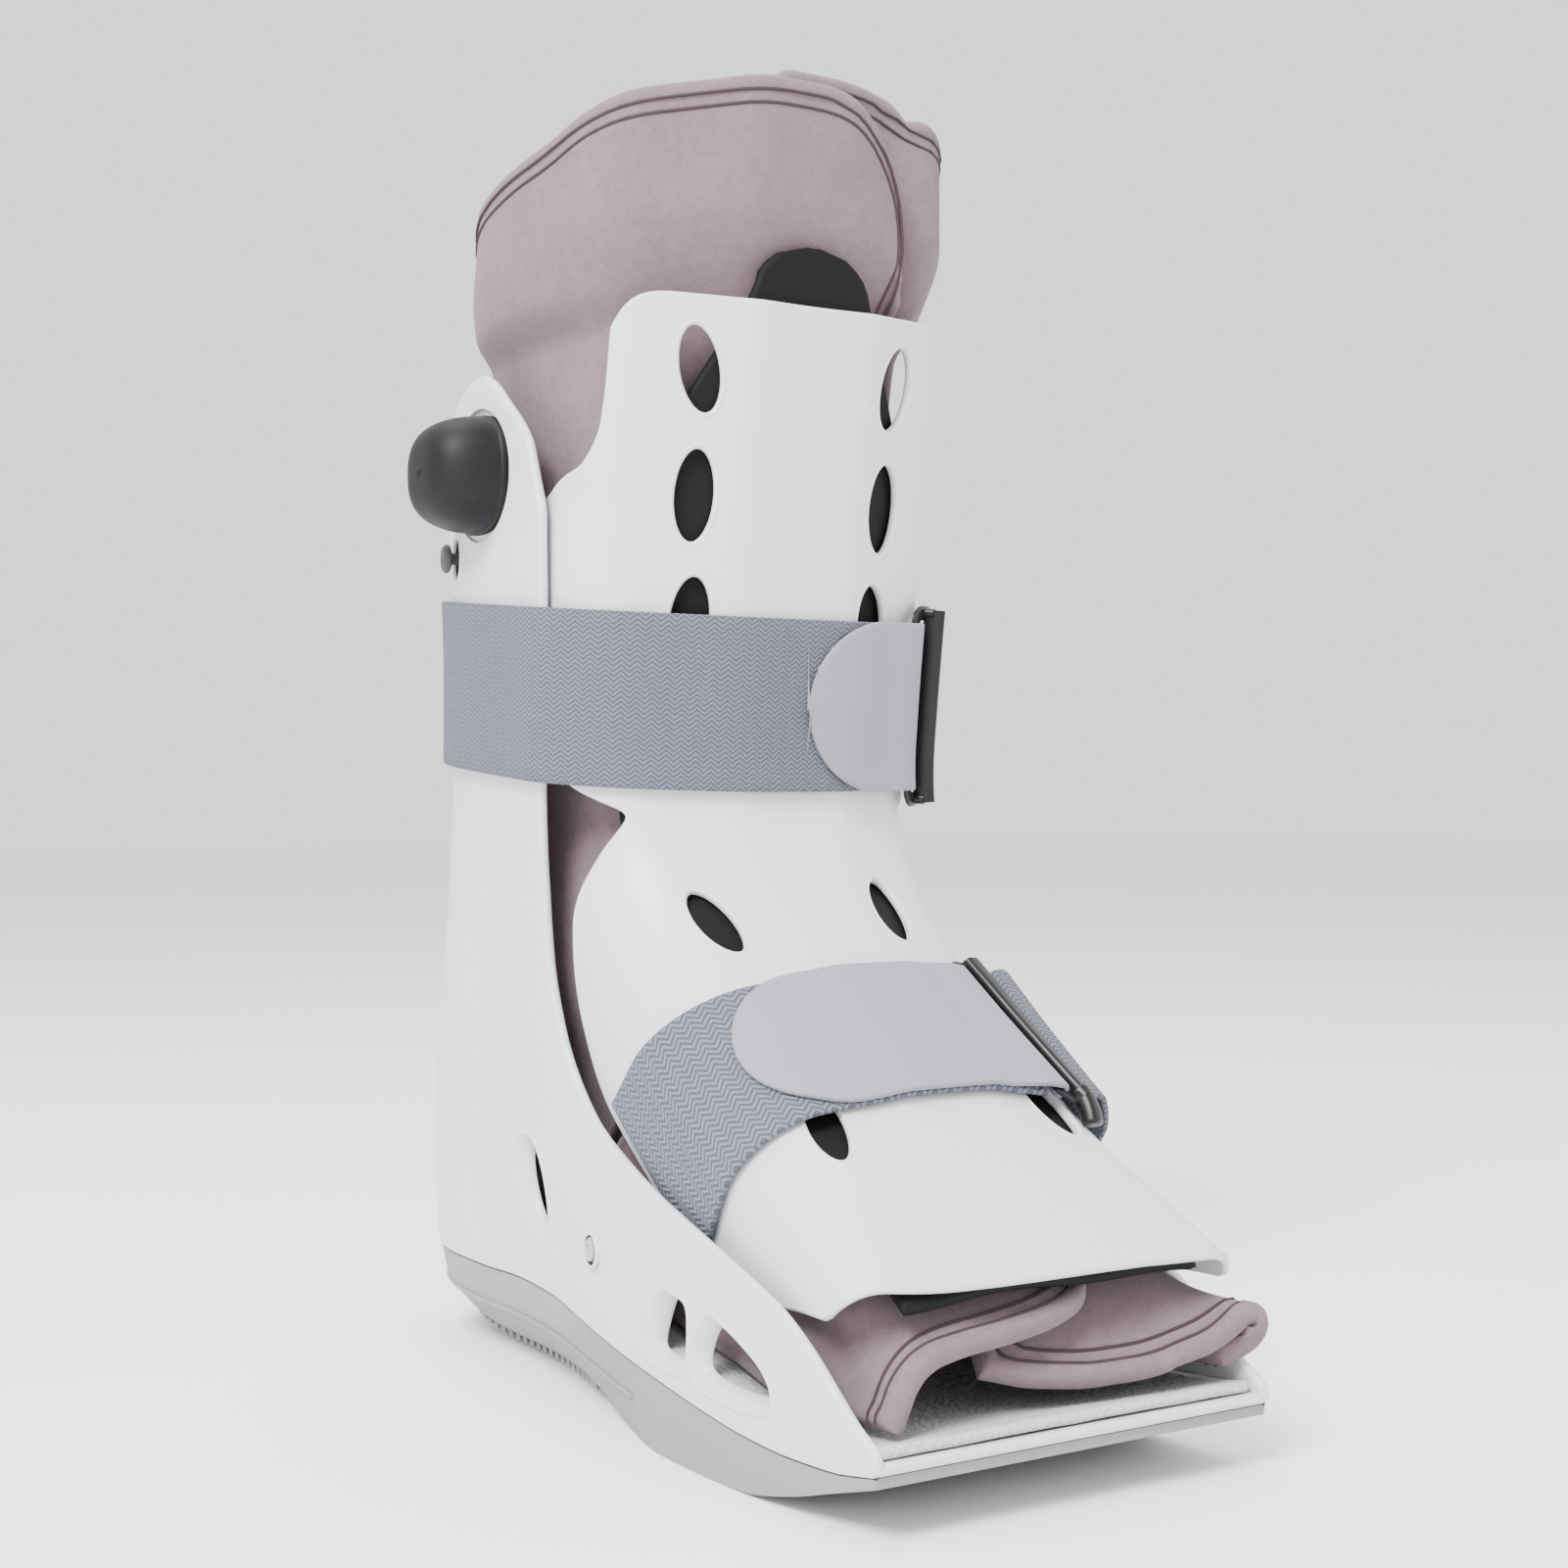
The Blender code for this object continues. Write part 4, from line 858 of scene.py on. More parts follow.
    @classmethod
    def turned(cls, name: str, profile: Sequence[tuple[float, float]], placed: Matrix, steps: int = 64,
               across: float = 1.0, along: float = 1.0, power: float = 2.0) -> bpy.types.Object:
        """Make a closed piece from (radius, height) rows round a frame's Z axis."""
        rows = []
        for radius, height in profile:
            ring = []
            for angle in turn(steps):
                x = squared(math.cos(angle), power) * radius * across
                y = squared(math.sin(angle), power) * radius * along
                ring.append(placed @ Vector((x * MM, y * MM, height * MM)) / MM)
            rows.append(ring)
        obj = cls.surface(name, rows, ring=True, caps=True)
        cls.outwards(obj)
        cls.smooth(obj, 40)
        return obj

    @classmethod
    def plug(cls, name: str, radius: float, height: float, placed: Matrix, across: float = 1.0,
             along: float = 1.0) -> bpy.types.Object:
        """Make a round cutter that stands on a frame's XY plane."""
        cls.select()
        bpy.ops.mesh.primitive_cylinder_add(vertices=64, radius=radius * MM, depth=height * MM)
        obj = bpy.context.active_object
        obj.name = name
        size = Matrix.Diagonal((across, along, 1.0, 1.0))
        obj.data.transform(placed @ size @ Matrix.Translation((0, 0, height * MM / 2)))
        obj.matrix_world = Matrix.Identity(4)
        return obj

    @classmethod
    def prism(cls, name: str, outline: Sequence[tuple[float, float]]) -> bpy.types.Object:
        """Make a cutter from a closed outline in the side view, as wide as the boot."""
        rows = [[(x, y, z) for y, z in outline] for x in (-120.0, 120.0)]
        obj = cls.surface(name, rows, ring=True, caps=True)
        cls.outwards(obj)
        return obj

    @staticmethod
    def rounded(points: Sequence[tuple[float, float]], steps: int = 10) -> list[tuple[float, float]]:
        """Return a closed smooth outline through points in a plane."""
        count = len(points)
        result = []
        for i in range(count):
            p0, p1, p2, p3 = (Vector(points[(i + k) % count]) for k in (-1, 0, 1, 2))
            for j in range(steps):
                t = j / steps
                m1 = (p2 - p0) / 2
                m2 = (p3 - p1) / 2
                start, end = 2 * t ** 3 - 3 * t ** 2 + 1, -2 * t ** 3 + 3 * t ** 2
                leave, arrive = t ** 3 - 2 * t ** 2 + t, t ** 3 - t ** 2
                point = p1 * start + m1 * leave + p2 * end + m2 * arrive
                result.append((point.x, point.y))
        return result


class Cloth:
    """A sheet's outer face as a net of points in millimetres, with normals and finer cells at its edges."""

    def __init__(self, rows: Sequence[Sequence[Vector]], flip: bool = False, fine: int = 4,
                 edge_cells: int = 3) -> None:
        """Read the rows and make the cells next to the edges finer."""
        net = np.array([[tuple(p) for p in row] for row in rows])
        normals = np.cross(np.gradient(net, axis=1), np.gradient(net, axis=0))
        lengths = np.maximum(np.linalg.norm(normals, axis=2, keepdims=True), 1e-9)
        normals *= (-1.0 if flip else 1.0) / lengths
        both = np.concatenate((net, normals), axis=2)
        for _ in range(2):
            both = self.finer(both, fine, edge_cells).transpose(1, 0, 2)
        self.points = both[..., :3]
        self.normals = both[..., 3:] / np.linalg.norm(both[..., 3:], axis=2, keepdims=True)

    @staticmethod
    def finer(net: np.ndarray, fine: int, edge_cells: int) -> np.ndarray:
        """Cut the first and last cells of the rows, the outermost ones more finely at their edge."""
        last = len(net) - 2
        rows = []
        for i in range(last + 1):
            steps = fine if i < edge_cells or i > last - edge_cells else 1
            for k in range(steps):
                share = k / steps
                if i == 0:
                    share = share ** 1.7
                elif i == last:
                    share = 1 - (1 - share) ** 1.7
                rows.append(net[i] * (1 - share) + net[i + 1] * share)
        rows.append(net[-1])
        return np.array(rows)

    @staticmethod
    def run(net: np.ndarray) -> np.ndarray:
        """Return the length along the first axis up to each point."""
        steps = np.linalg.norm(np.diff(net, axis=0), axis=2)
        return np.concatenate((np.zeros((1, net.shape[1])), np.cumsum(steps, axis=0)))

    def edge_distance(self) -> np.ndarray:
        """Return each point's distance to the nearest edge."""
        down = self.run(self.points)
        across = self.run(self.points.transpose(1, 0, 2)).T
        return np.minimum.reduce((down, down[-1] - down, across, across[:, -1:] - across))

    def hem(self, reach: float, start: int, both: bool, lift: float, rounds: int = 6) -> list[Vector]:
        """Return a line that runs along the sheet's edges at a distance inside them.

        Args:
            reach: The line's distance from the edges.
            start: The row where the line begins.
            both: Whether the line comes down the far side too, and doesn't end on it.
            lift: How far the line stands off the face.
            rounds: How many times the line's corners are eased.

        Returns:
            The line's points, from the near side along the last row.
        """
        raised = self.points + self.normals * lift
        down = self.run(self.points)
        across = self.run(self.points.transpose(1, 0, 2)).T
        left = down[-1] - down
        line = []
        for i in range(start, len(raised)):
            if left[i, 0] > reach:
                line.append([np.interp(reach, across[i], raised[i, :, k]) for k in range(3)])
        for j in range(raised.shape[1]):
            if across[-1, j] > reach and (not both or across[-1, -1] - across[-1, j] > reach):
                order = slice(None, None, -1)
                line.append([np.interp(reach, left[order, j], raised[order, j, k]) for k in range(3)])
        if both:
            for i in reversed(range(start, len(raised))):
                if left[i, -1] > reach:
                    inside = across[i, -1] - reach
                    line.append([np.interp(inside, across[i], raised[i, :, k]) for k in range(3)])
        path = np.array(line)
        for _ in range(rounds):
            path[1:-1] = (path[:-2] + path[1:-1] * 2 + path[2:]) / 4
        return resample([Vector(p) for p in path], max(40, len(path) // 2), 1.5)


class Skin:
    """The outer face of a finished mesh, on which seams, rims and bindings are laid."""

    def __init__(self, obj: bpy.types.Object) -> None:
        """Read the faces of an object."""
        bm = bmesh.new()
        bm.from_mesh(obj.data)
        self.tree = BVHTree.FromBMesh(bm)
        bm.free()

    def along(self, start: Vector, direction: Vector) -> tuple[Vector, Vector] | None:
        """Return where a ray first meets the face, and the normal there, in millimetres."""
        point, normal, _, _ = self.tree.ray_cast(Vector(start) * MM, Vector(direction).normalized())
        return None if point is None else (point / MM, normal)

    def nearest(self, point: Vector) -> tuple[Vector, Vector]:
        """Return the nearest point of the face, and the normal there, in millimetres."""
        found, normal, _, _ = self.tree.find_nearest(Vector(point) * MM)
        return found / MM, normal


class Field:
    """A value that changes over a surface: a node's output, with arithmetic that adds Math nodes."""

    def __init__(self, shader: "Shader", socket: bpy.types.NodeSocket) -> None:
        """Wrap an output socket."""
        self.shader = shader
        self.socket = socket

    def _with(self, operation: str, other: Any, swapped: bool = False) -> "Field":
        pair = [other, self] if swapped else [self, other]
        return self.shader.node("ShaderNodeMath", {"operation": operation}, pair)

    def __add__(self, other: Any) -> "Field":
        """Add."""
        return self._with("ADD", other)

    __radd__ = __add__

    def __sub__(self, other: Any) -> "Field":
        """Subtract."""
        return self._with("SUBTRACT", other)

    def __rsub__(self, other: Any) -> "Field":
        """Subtract from a number."""
        return self._with("SUBTRACT", other, True)

    def __mul__(self, other: Any) -> "Field":
        """Multiply."""
        return self._with("MULTIPLY", other)

    __rmul__ = __mul__

    def __truediv__(self, other: Any) -> "Field":
        """Divide."""
        return self._with("DIVIDE", other)

    def sine(self) -> "Field":
        """Return the sine."""
        return self.shader.node("ShaderNodeMath", {"operation": "SINE"}, [self])

    def fraction(self) -> "Field":
        """Return the part after the point."""
        return self.shader.node("ShaderNodeMath", {"operation": "FRACT"}, [self])

    def size(self) -> "Field":
        """Return the value without its sign."""
        return self.shader.node("ShaderNodeMath", {"operation": "ABSOLUTE"}, [self])

    def between(self, low: float, high: float) -> "Field":
        """Return 0 below low and 1 above high, with a smooth step between them."""
        settings = {"interpolation_type": "SMOOTHSTEP"}
        return self.shader.node("ShaderNodeMapRange", settings, [self, low, high, 0.0, 1.0])


class Shader:
    """Builds one material's nodes round its Principled shader."""

    def __init__(self, name: str) -> None:
        """Start an empty material of the given name."""
        self.material = bpy.data.materials.new(name)
        self.material.use_nodes = True
        self.tree = self.material.node_tree
        self.shader = self.tree.nodes["Principled BSDF"]
        self.place = self.tree.nodes.new("ShaderNodeTexCoord")

    def node(self, kind: str, settings: dict[str, Any] | None = None, inputs: Any = (),
             output: int | str = 0) -> Field:
        """Add a node and return one of its outputs.

        Args:
            kind: The node's type.
            settings: Properties that are set before its sockets.
            inputs: Values or fields, in order or by the socket's name or number.
            output: Which output is returned.

        Returns:
            The output as a field.
        """
        made = self.tree.nodes.new(kind)
        for name, value in (settings or {}).items():
            setattr(made, name, value)
        pairs = inputs.items() if isinstance(inputs, dict) else enumerate(inputs)
        for key, value in pairs:
            if isinstance(value, Field):
                self.tree.links.new(value.socket, made.inputs[key])
            else:
                made.inputs[key].default_value = value
        return Field(self, made.outputs[output])

    def object_place(self) -> Field:
        """Return the place on the object, in metres."""
        return Field(self, self.place.outputs["Object"])

    def surface_place(self) -> Field:
        """Return the place in the piece's own map, in metres."""
        return Field(self, self.place.outputs["UV"])

    def part(self, vector: Field, axis: str) -> Field:
        """Return one coordinate of a vector."""
        return self.node("ShaderNodeSeparateXYZ", None, [vector], axis)

    def grain(self, scale: float, detail: float = 2.0, roughness: float = 0.5) -> Field:
        """Return noise from 0 to 1 with the given number of grains to a metre."""
        inputs = {"Vector": self.object_place(), "Scale": scale, "Detail": detail, "Roughness": roughness}
        return self.node("ShaderNodeTexNoise", None, inputs)

    def cells(self, scale: float) -> Field:
        """Return the distance to the nearest of many scattered points."""
        return self.node("ShaderNodeTexVoronoi", None, {"Vector": self.object_place(), "Scale": scale})

    def mix(self, share: Field, low: Sequence[float], high: Sequence[float] | Field) -> Field:
        """Return a colour between two colours."""
        first = low if isinstance(low, Field) else (*low, 1.0)
        second = high if isinstance(high, Field) else (*high, 1.0)
        return self.node("ShaderNodeMix", {"data_type": "RGBA"}, {0: share, 6: first, 7: second}, 2)

    def set(self, name: str, value: Any) -> None:
        """Set or link a socket of the Principled shader."""
        if isinstance(value, Field):
            self.tree.links.new(value.socket, self.shader.inputs[name])
        else:
            self.shader.inputs[name].default_value = value

    def tint(self, share: Field, colour: Sequence[float], low: float, high: float) -> None:
        """Vary the base colour between a darker and a lighter shade of a colour."""
        self.set("Base Color", self.mix(share, shade(colour, low), shade(colour, high)))

    def cloth(self, roughness: float, sheen: float, gloss: float = 0.2) -> None:
        """Set the dull, slightly fuzzy face of a cloth."""
        self.set("Roughness", roughness)
        self.set("Sheen Weight", sheen)
        self.set("Specular IOR Level", gloss)

    def bump(self, height: Field, depth: float, strength: float = 1.0) -> None:
        """Add relief of a depth in millimetres."""
        normal = self.node("ShaderNodeBump", None,
                           {"Height": height, "Distance": depth * MM, "Strength": strength}, "Normal")
        self.set("Normal", normal)


def shade(colour: Sequence[float], factor: float) -> tuple[float, float, float]:
    """Return a colour made lighter or darker."""
    return tuple(min(1.0, c * factor) for c in colour)


@dataclass(frozen=True)
class Plastic:
    """Smooth moulded plastic with a faint orange-peel grain and a few scuffs."""

    name: str
    colour: tuple[float, float, float]
    roughness: float = 0.36
    grain: float = 0.02
    gloss: float = 0.5

    def build(self) -> bpy.types.Material:
        """Return the material."""
        shader = Shader(self.name)
        cloud = shader.grain(14.0, 3.0)
        shader.tint(cloud, self.colour, 0.985, 1.015)
        scuff = shader.grain(90.0, 5.0, 0.65).between(0.6, 0.75)
        shader.set("Roughness", self.roughness + scuff * 0.06)
        shader.set("Specular IOR Level", self.gloss)
        shader.bump(shader.grain(900.0, 2.0), self.grain, 0.5)
        return shader.material


@dataclass(frozen=True)
class Fleece:
    """Short brushed pile over foam, mottled by the lie of the pile."""

    name: str
    colour: tuple[float, float, float]
    pile: float = 0.35

    def build(self) -> bpy.types.Material:
        """Return the material."""
        shader = Shader(self.name)
        nap = shader.grain(1400.0, 3.0, 0.7)
        lie = shader.grain(260.0, 4.0, 0.6)
        patch = shader.grain(45.0, 3.0)
        mottled = (nap * 0.45 + lie * 0.35 + patch * 0.2).between(0.3, 0.72)
        shader.tint(mottled, self.colour, 0.8, 1.14)
        shader.cloth(0.96, 0.08, 0.15)
        shader.set("Sheen Roughness", 0.6)
        shader.bump(nap * 0.6 + lie * 0.4, self.pile, 0.7)
        return shader.material


@dataclass(frozen=True)
class Twill:
    """Webbing woven in zigzag ribs along the piece's own map."""

    name: str
    colour: tuple[float, float, float]
    rib: float = 1.5
    turn: float = 4.4
    lean: float = 0.42
    depth: float = 0.35
    contrast: float = 0.28

    def build(self) -> bpy.types.Material:
        """Return the material."""
        shader = Shader(self.name)
        place = shader.surface_place()
        u = shader.part(place, "X") / MM
        v = shader.part(place, "Y") / MM
        wander = shader.grain(260.0, 2.0, 0.5)
        zigzag = ((u / self.turn).fraction() - 0.5).size() * (self.turn * self.lean * 2)
        ribs = ((v + zigzag + wander * 0.5) * (2 * math.pi / self.rib)).sine()
        threads = (u * (2 * math.pi / 0.55)).sine()
        relief = (ribs * 0.42 + threads * 0.12 + shader.grain(2200.0, 2.0) * 0.5).between(-0.2, 0.75)
        shader.tint(relief, self.colour, 1 - self.contrast, 1 + self.contrast * 0.6)
        shader.cloth(0.9, 0.05)
        shader.bump(relief, self.depth, 0.8)
        return shader.material


@dataclass(frozen=True)
class Knit:
    """Fine knitted tape along the piece's own map."""

    name: str
    colour: tuple[float, float, float]
    stitch: float = 0.9
    depth: float = 0.2

    def build(self) -> bpy.types.Material:
        """Return the material."""
        shader = Shader(self.name)
        place = shader.surface_place()
        u = shader.part(place, "X") / MM
        v = shader.part(place, "Y") / MM
        turn = 2 * math.pi / self.stitch
        loops = (u * turn).sine() * (v * turn * 0.8).sine()
        fuzz = shader.grain(1800.0, 3.0, 0.6)
        relief = (loops * 0.3 + fuzz * 0.7).between(0.05, 0.8)
        shader.tint(relief, self.colour, 0.86, 1.1)
        shader.cloth(0.88, 0.06)
        shader.bump(relief, self.depth, 0.7)
        return shader.material


@dataclass(frozen=True)
class Rubber:
    """Satin rubber or covered foam with a fine grain."""

    name: str
    colour: tuple[float, float, float]
    roughness: float = 0.5
    grain: float = 0.05
    scale: float = 1100.0
    gloss: float = 0.2

    def build(self) -> bpy.types.Material:
        """Return the material."""
        shader = Shader(self.name)
        dust = shader.grain(60.0, 4.0, 0.6)
        fine = shader.grain(self.scale, 2.0, 0.6)
        shader.tint(dust, self.colour, 0.85, 1.25)
        shader.set("Roughness", self.roughness + dust * 0.08)
        shader.set("Specular IOR Level", self.gloss)
        shader.bump(fine, self.grain, 0.6)
        return shader.material


@dataclass(frozen=True)
class SoleRubber:
    """Moulded sole rubber: grey, with a mauve upper band from the heel to the arch."""

    name: str
    colour: tuple[float, float, float]
    band: tuple[float, float, float]
    band_end_y: float = -20.0

    def build(self) -> bpy.types.Material:
        """Return the material."""
        shader = Shader(self.name)
        place = shader.object_place()
        y = shader.part(place, "Y") / MM
        z = shader.part(place, "Z") / MM
        fine = shader.grain(700.0, 3.0, 0.6)
        cloud = shader.grain(40.0, 3.0)
        plain = shader.mix(cloud, shade(self.colour, 0.94), shade(self.colour, 1.05))
        tinted = shader.mix(cloud, shade(self.band, 0.94), shade(self.band, 1.05))
        heel = y.between(self.band_end_y - 12, self.band_end_y + 12) * (z + y * 0.08).between(18.0, 19.2)
        shader.set("Base Color", shader.mix(heel, plain, tinted))
        shader.set("Roughness", 0.62 + fine * 0.1)
        shader.bump(fine, 0.08, 0.5)
        return shader.material


@dataclass(frozen=True)
class Loops:
    """Off-white looped cloth."""

    name: str
    colour: tuple[float, float, float]
    scale: float = 620.0

    def build(self) -> bpy.types.Material:
        """Return the material."""
        shader = Shader(self.name)
        knots = 1.0 - shader.cells(self.scale).between(0.1, 0.9)
        lie = shader.grain(150.0, 3.0, 0.6)
        relief = knots * 0.7 + lie * 0.3
        shader.tint(relief, self.colour, 0.78, 1.08)
        shader.cloth(0.92, 0.05)
        shader.bump(relief, 0.5, 0.7)
        return shader.material


class Material(Enum):
    """The boot's finishes, by the record's material slot."""

    SHELL = "shell"
    FLEECE = "fleece"
    THREAD = "thread"
    FOAM = "foam"
    RUBBER = "rubber"
    KNOB = "knob"
    WEBBING = "webbing"
    COARSE_WEBBING = "coarse_webbing"
    HOOK_TAPE = "hook_tape"
    RING = "ring"
    OUTSOLE = "outsole"
    LOOP_FABRIC = "loop_fabric"
    PIN = "pin"


FINISHES = {
    Material.SHELL: Plastic("shell", (0.66, 0.668, 0.70), roughness=0.34, grain=0.03),
    Material.FLEECE: Fleece("fleece", (0.18, 0.131, 0.142)),
    Material.THREAD: Rubber("thread", (0.045, 0.03, 0.034), roughness=0.8),
    Material.FOAM: Rubber("foam", (0.006, 0.006, 0.006), roughness=0.62, grain=0.12, scale=1500.0,
                          gloss=0.12),
    Material.RUBBER: Rubber("rubber", (0.006, 0.006, 0.007), roughness=0.5, gloss=0.2),
    Material.KNOB: Rubber("knob", (0.06, 0.052, 0.05), roughness=0.45),
    Material.WEBBING: Twill("webbing", (0.128, 0.132, 0.168), contrast=0.42),
    Material.COARSE_WEBBING: Twill("coarse_webbing", (0.15, 0.155, 0.198), rib=1.9, turn=5.2, depth=0.45,
                                   contrast=0.5),
    Material.HOOK_TAPE: Knit("hook_tape", (0.285, 0.285, 0.325)),
    Material.RING: Plastic("ring", (0.007, 0.007, 0.008), roughness=0.34, grain=0.02, gloss=0.3),
    Material.OUTSOLE: SoleRubber("outsole", (0.245, 0.24, 0.26), (0.29, 0.258, 0.28)),
    Material.LOOP_FABRIC: Loops("loop_fabric", (0.55, 0.55, 0.57)),
    Material.PIN: Plastic("pin", (0.40, 0.40, 0.42), roughness=0.3),
}


class Dresser:
    """Gives pieces their finish, their body and their place in the frame."""

    def __init__(self) -> None:
        """Build every finish once."""
        self.materials = {choice: finish.build() for choice, finish in FINISHES.items()}

    def dress(self, obj: bpy.types.Object, finish: Material, *nodes: str,
              body: str = BODY) -> bpy.types.Object:
        """Finish a piece and join it to the frame.

        Args:
            obj: The piece.
            finish: Its finish.
            nodes: The frame's nodes that it stands for.
            body: The body it moves with.

        Returns:
            The same piece.
        """
        obj.data.materials.clear()
        obj.data.materials.append(self.materials[finish])
        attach(obj, body)
        if nodes:
            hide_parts(*nodes)
        LOG.info("%s: %d faces, finish %s", obj.name, len(obj.data.polygons), finish.value)
        return obj


@dataclass
class RearShell:
    """The moulded rear shell: heel cup, tray, uprights, windows with rolled rims, and side pins."""

    dresser: Dresser
    wall: float = REAR_WALL
    rows: int = 66
    floor_rows: int = 10
    columns: int = 84
    seat_radius: float = PUMP_HALF + 1.7
    slope_back: float = 3.6
    slope_low: float = 2.8
    sink: float = 4.0
    low_foot_y: float = -150.0
    heel_window_long: float = 14.8
    heel_window_wide: float = 9.4
    heel_window_lean: float = 22.0
    heel_window_shift: float = -2.0
    settle_rounds: int = 8
    valve_stretch: float = 1.35
    edge_steps: int = 520

    def half(self) -> list[list[tuple[float, float, float]]]:
        """Return the rows of the left half, from the tray's middle line to the trimmed edge."""
        bottom = []
        for j in range(self.columns + 1):
            x, y = rear_point(j / self.columns, 0.0, LIP_Z)
            bottom.append((x, y, SOLE_AT["seam_z"](y)))
        rows = []
        for i in range(self.floor_rows):
            share = i / self.floor_rows
            row = []
            for x, y, _ in bottom:
                spine_y = min(y, HEEL_SPINE_Y)
                py = spine_y + (y - spine_y) * share
                row.append((x * share, py, SOLE_AT["seam_z"](py)))
            rows.append(row)
        rows.append(bottom)
        for i in range(1, self.rows + 1):
            share = (i / self.rows) ** 1.3
            row = []
            for j in range(self.columns + 1):
                x, y, z = rows[-1][j] if i > 1 else bottom[j]
                for _ in range(self.settle_rounds):
                    seam = SOLE_AT["seam_z"](y)
                    z = seam + share * (TOP_EDGE_AT(y) - seam)
                    x, y = rear_point(j / self.columns, z - seam, z)
                row.append((x, y, z))
            rows.append(row)
        return rows

    def outside(self, y: float, z: float, side: int) -> tuple[Vector, Vector]:
        """Return the outer face's point and normal at a place in the side view."""
        found = self.skin.along(Vector((side * 150.0, y, z)), Vector((-side, 0, 0)))
        if found is None:
            point, normal = rear_wall(y, z)
            return Vector((-side * point.x, y, z)), Vector((-side * normal.x, normal.y, normal.z))
        return found

    def build(self) -> None:
        """Build the shell, its rims and its pins."""
        rows = self.half()
        shell = Workshop.surface("rear_shell_moulding", rows)
        Workshop.mirror(shell)
        self.skin = Skin(shell)
        Workshop.thicken(shell, self.wall)
        self.level_foot(shell)
        outlines = {w.name: self.outline_of(w) for w in WINDOWS}
        cutters = [Workshop.prism(name, self.recess(outline)) for name, outline in outlines.items()]
        cutters.append(Workshop.plug("pump_seat", self.seat_radius, 6.0, Pump.place(-1.4)))
        cutters.append(Workshop.plug("valve_hole", VALVE_HOLE, 12.0, Pump.valve_place(-6.0), 1.0,
                                     self.valve_stretch))
        Workshop.cut(shell, cutters)
        Workshop.smooth(shell, 42)
        self.dresser.dress(shell, Material.SHELL, "rear_shell")
        for name, outline in outlines.items():
            for side, word in SIDES:
                self.rim_round(f"{name}_rim_{word}", outline, side)
        self.edge(rows)
        self.valve_rim()
        for side, word in SIDES:
            self.pin(side, word)

    def edge(self, rows: Sequence[Sequence[tuple[float, float, float]]]) -> None:
        """Round the shell's edge, from the heel over both uprights to the toe's lip."""
        cloth = Cloth([[Vector(p) for p in row] for row in rows], fine=1)
        middle = cloth.normals[len(rows) // 2, self.columns // 2]
        normals = cloth.normals * (-1.0 if middle[0] > 0 else 1.0)
        left = np.concatenate((cloth.points[-1], cloth.points[-2::-1, -1]))
        away = np.concatenate((normals[-1], normals[-2::-1, -1]))
        mirror = np.array((-1.0, 1.0, 1.0))
        loop = np.concatenate((left, left[-2::-1] * mirror))
        facing = np.concatenate((away, away[-2::-1] * mirror))
        bead = Workshop.rolled("rear_shell_edge", loop, facing, self.wall, self.edge_steps)
        self.dresser.dress(bead, Material.SHELL)

    def level_foot(self, shell: bpy.types.Object) -> None:
        """Bring what hangs below the shell's joint with the sole up to it."""
        for vert in shell.data.vertices:
            if vert.co.y > self.low_foot_y * MM:
                continue
            seam = SOLE_AT["seam_z"](max(TOE_Y, vert.co.y / MM)) * MM
            vert.co.z = max(vert.co.z, seam)
            vert.co.y = max(vert.co.y, (TOE_Y - 0.2) * MM)

    def outline_of(self, window: Window) -> list[tuple[float, float]]:
        """Return a window's outline in the side view: an oval at the heel, else as in the table."""
        if window.name != "heel_window":
            return Workshop.rounded(list(zip(window.ys, window.zs)))
        middle_y = sum(window.ys) / len(window.ys) + self.heel_window_shift
        middle = Vector((middle_y, sum(window.zs) / len(window.zs)))
        lean = math.radians(self.heel_window_lean)
        result = []
        for angle in turn(64):
            a, b = self.heel_window_long * math.cos(angle), self.heel_window_wide * math.sin(angle)
            result.append((middle.x + a * math.sin(lean) + b * math.cos(lean),
                           middle.y + a * math.cos(lean) - b * math.sin(lean)))
        return result

    def outwards_of(self, outline: Sequence[tuple[float, float]]) -> list[Vector]:
        """Return the direction that points away from the opening at each point of an outline."""
        count = len(outline)
        following = [*outline[1:], outline[0]]
        area = sum(a[0] * b[1] - b[0] * a[1] for a, b in zip(outline, following))
        sign = 1.0 if area > 0 else -1.0
        result = []
        for i in range(count):
            before, after = Vector(outline[i - 2]), Vector(outline[(i + 2) % count])
            run = (after - before).normalized()
            result.append(Vector((run.y, -run.x)) * sign)
        return result

    def widening(self, away: Vector) -> float:
        """Return how far the recess is wider than the opening on one side of it."""
        return 0.5 + self.slope_back * max(0.0, away.x) ** 1.5 + self.slope_low * max(0.0, -away.y) ** 1.5

    def recess(self, outline: Sequence[tuple[float, float]]) -> list[tuple[float, float]]:
        """Return the outline of the sloping recess round an opening."""
        return [(y + away.x * self.widening(away), z + away.y * self.widening(away))
                for (y, z), away in zip(outline, self.outwards_of(outline))]

    def rim_round(self, name: str, outline: Sequence[tuple[float, float]], side: int) -> None:
        """Line a window with a raised rim and walls that slope inwards."""
        rings: list[list[Vector]] = []
        for (y, z), away in zip(outline, self.outwards_of(outline)):
            wide = self.widening(away)
            point, normal = self.outside(y + away.x * wide, z + away.y * wide, side)
            out = Vector((0, away.x, away.y))
            out = (out - normal * out.dot(normal)).normalized()
            section = ((1.5, 0.5), (1.15, -0.25), (0.3, -0.4), (-0.35, 0.1), (-wide * 0.55, self.sink * 0.5),
                       (-wide, self.sink), (-wide + 0.1, self.sink + 0.9), (1.0, self.sink + 0.3), (1.6, 2.6))
            rings.append([point + out * reach - normal * depth for reach, depth in section])
        rings.append(rings[0])
        rim = Workshop.surface(name, rings, ring=True)
        Workshop.outwards(rim)
        Workshop.smooth(rim, 60)
        self.dresser.dress(rim, Material.SHELL)

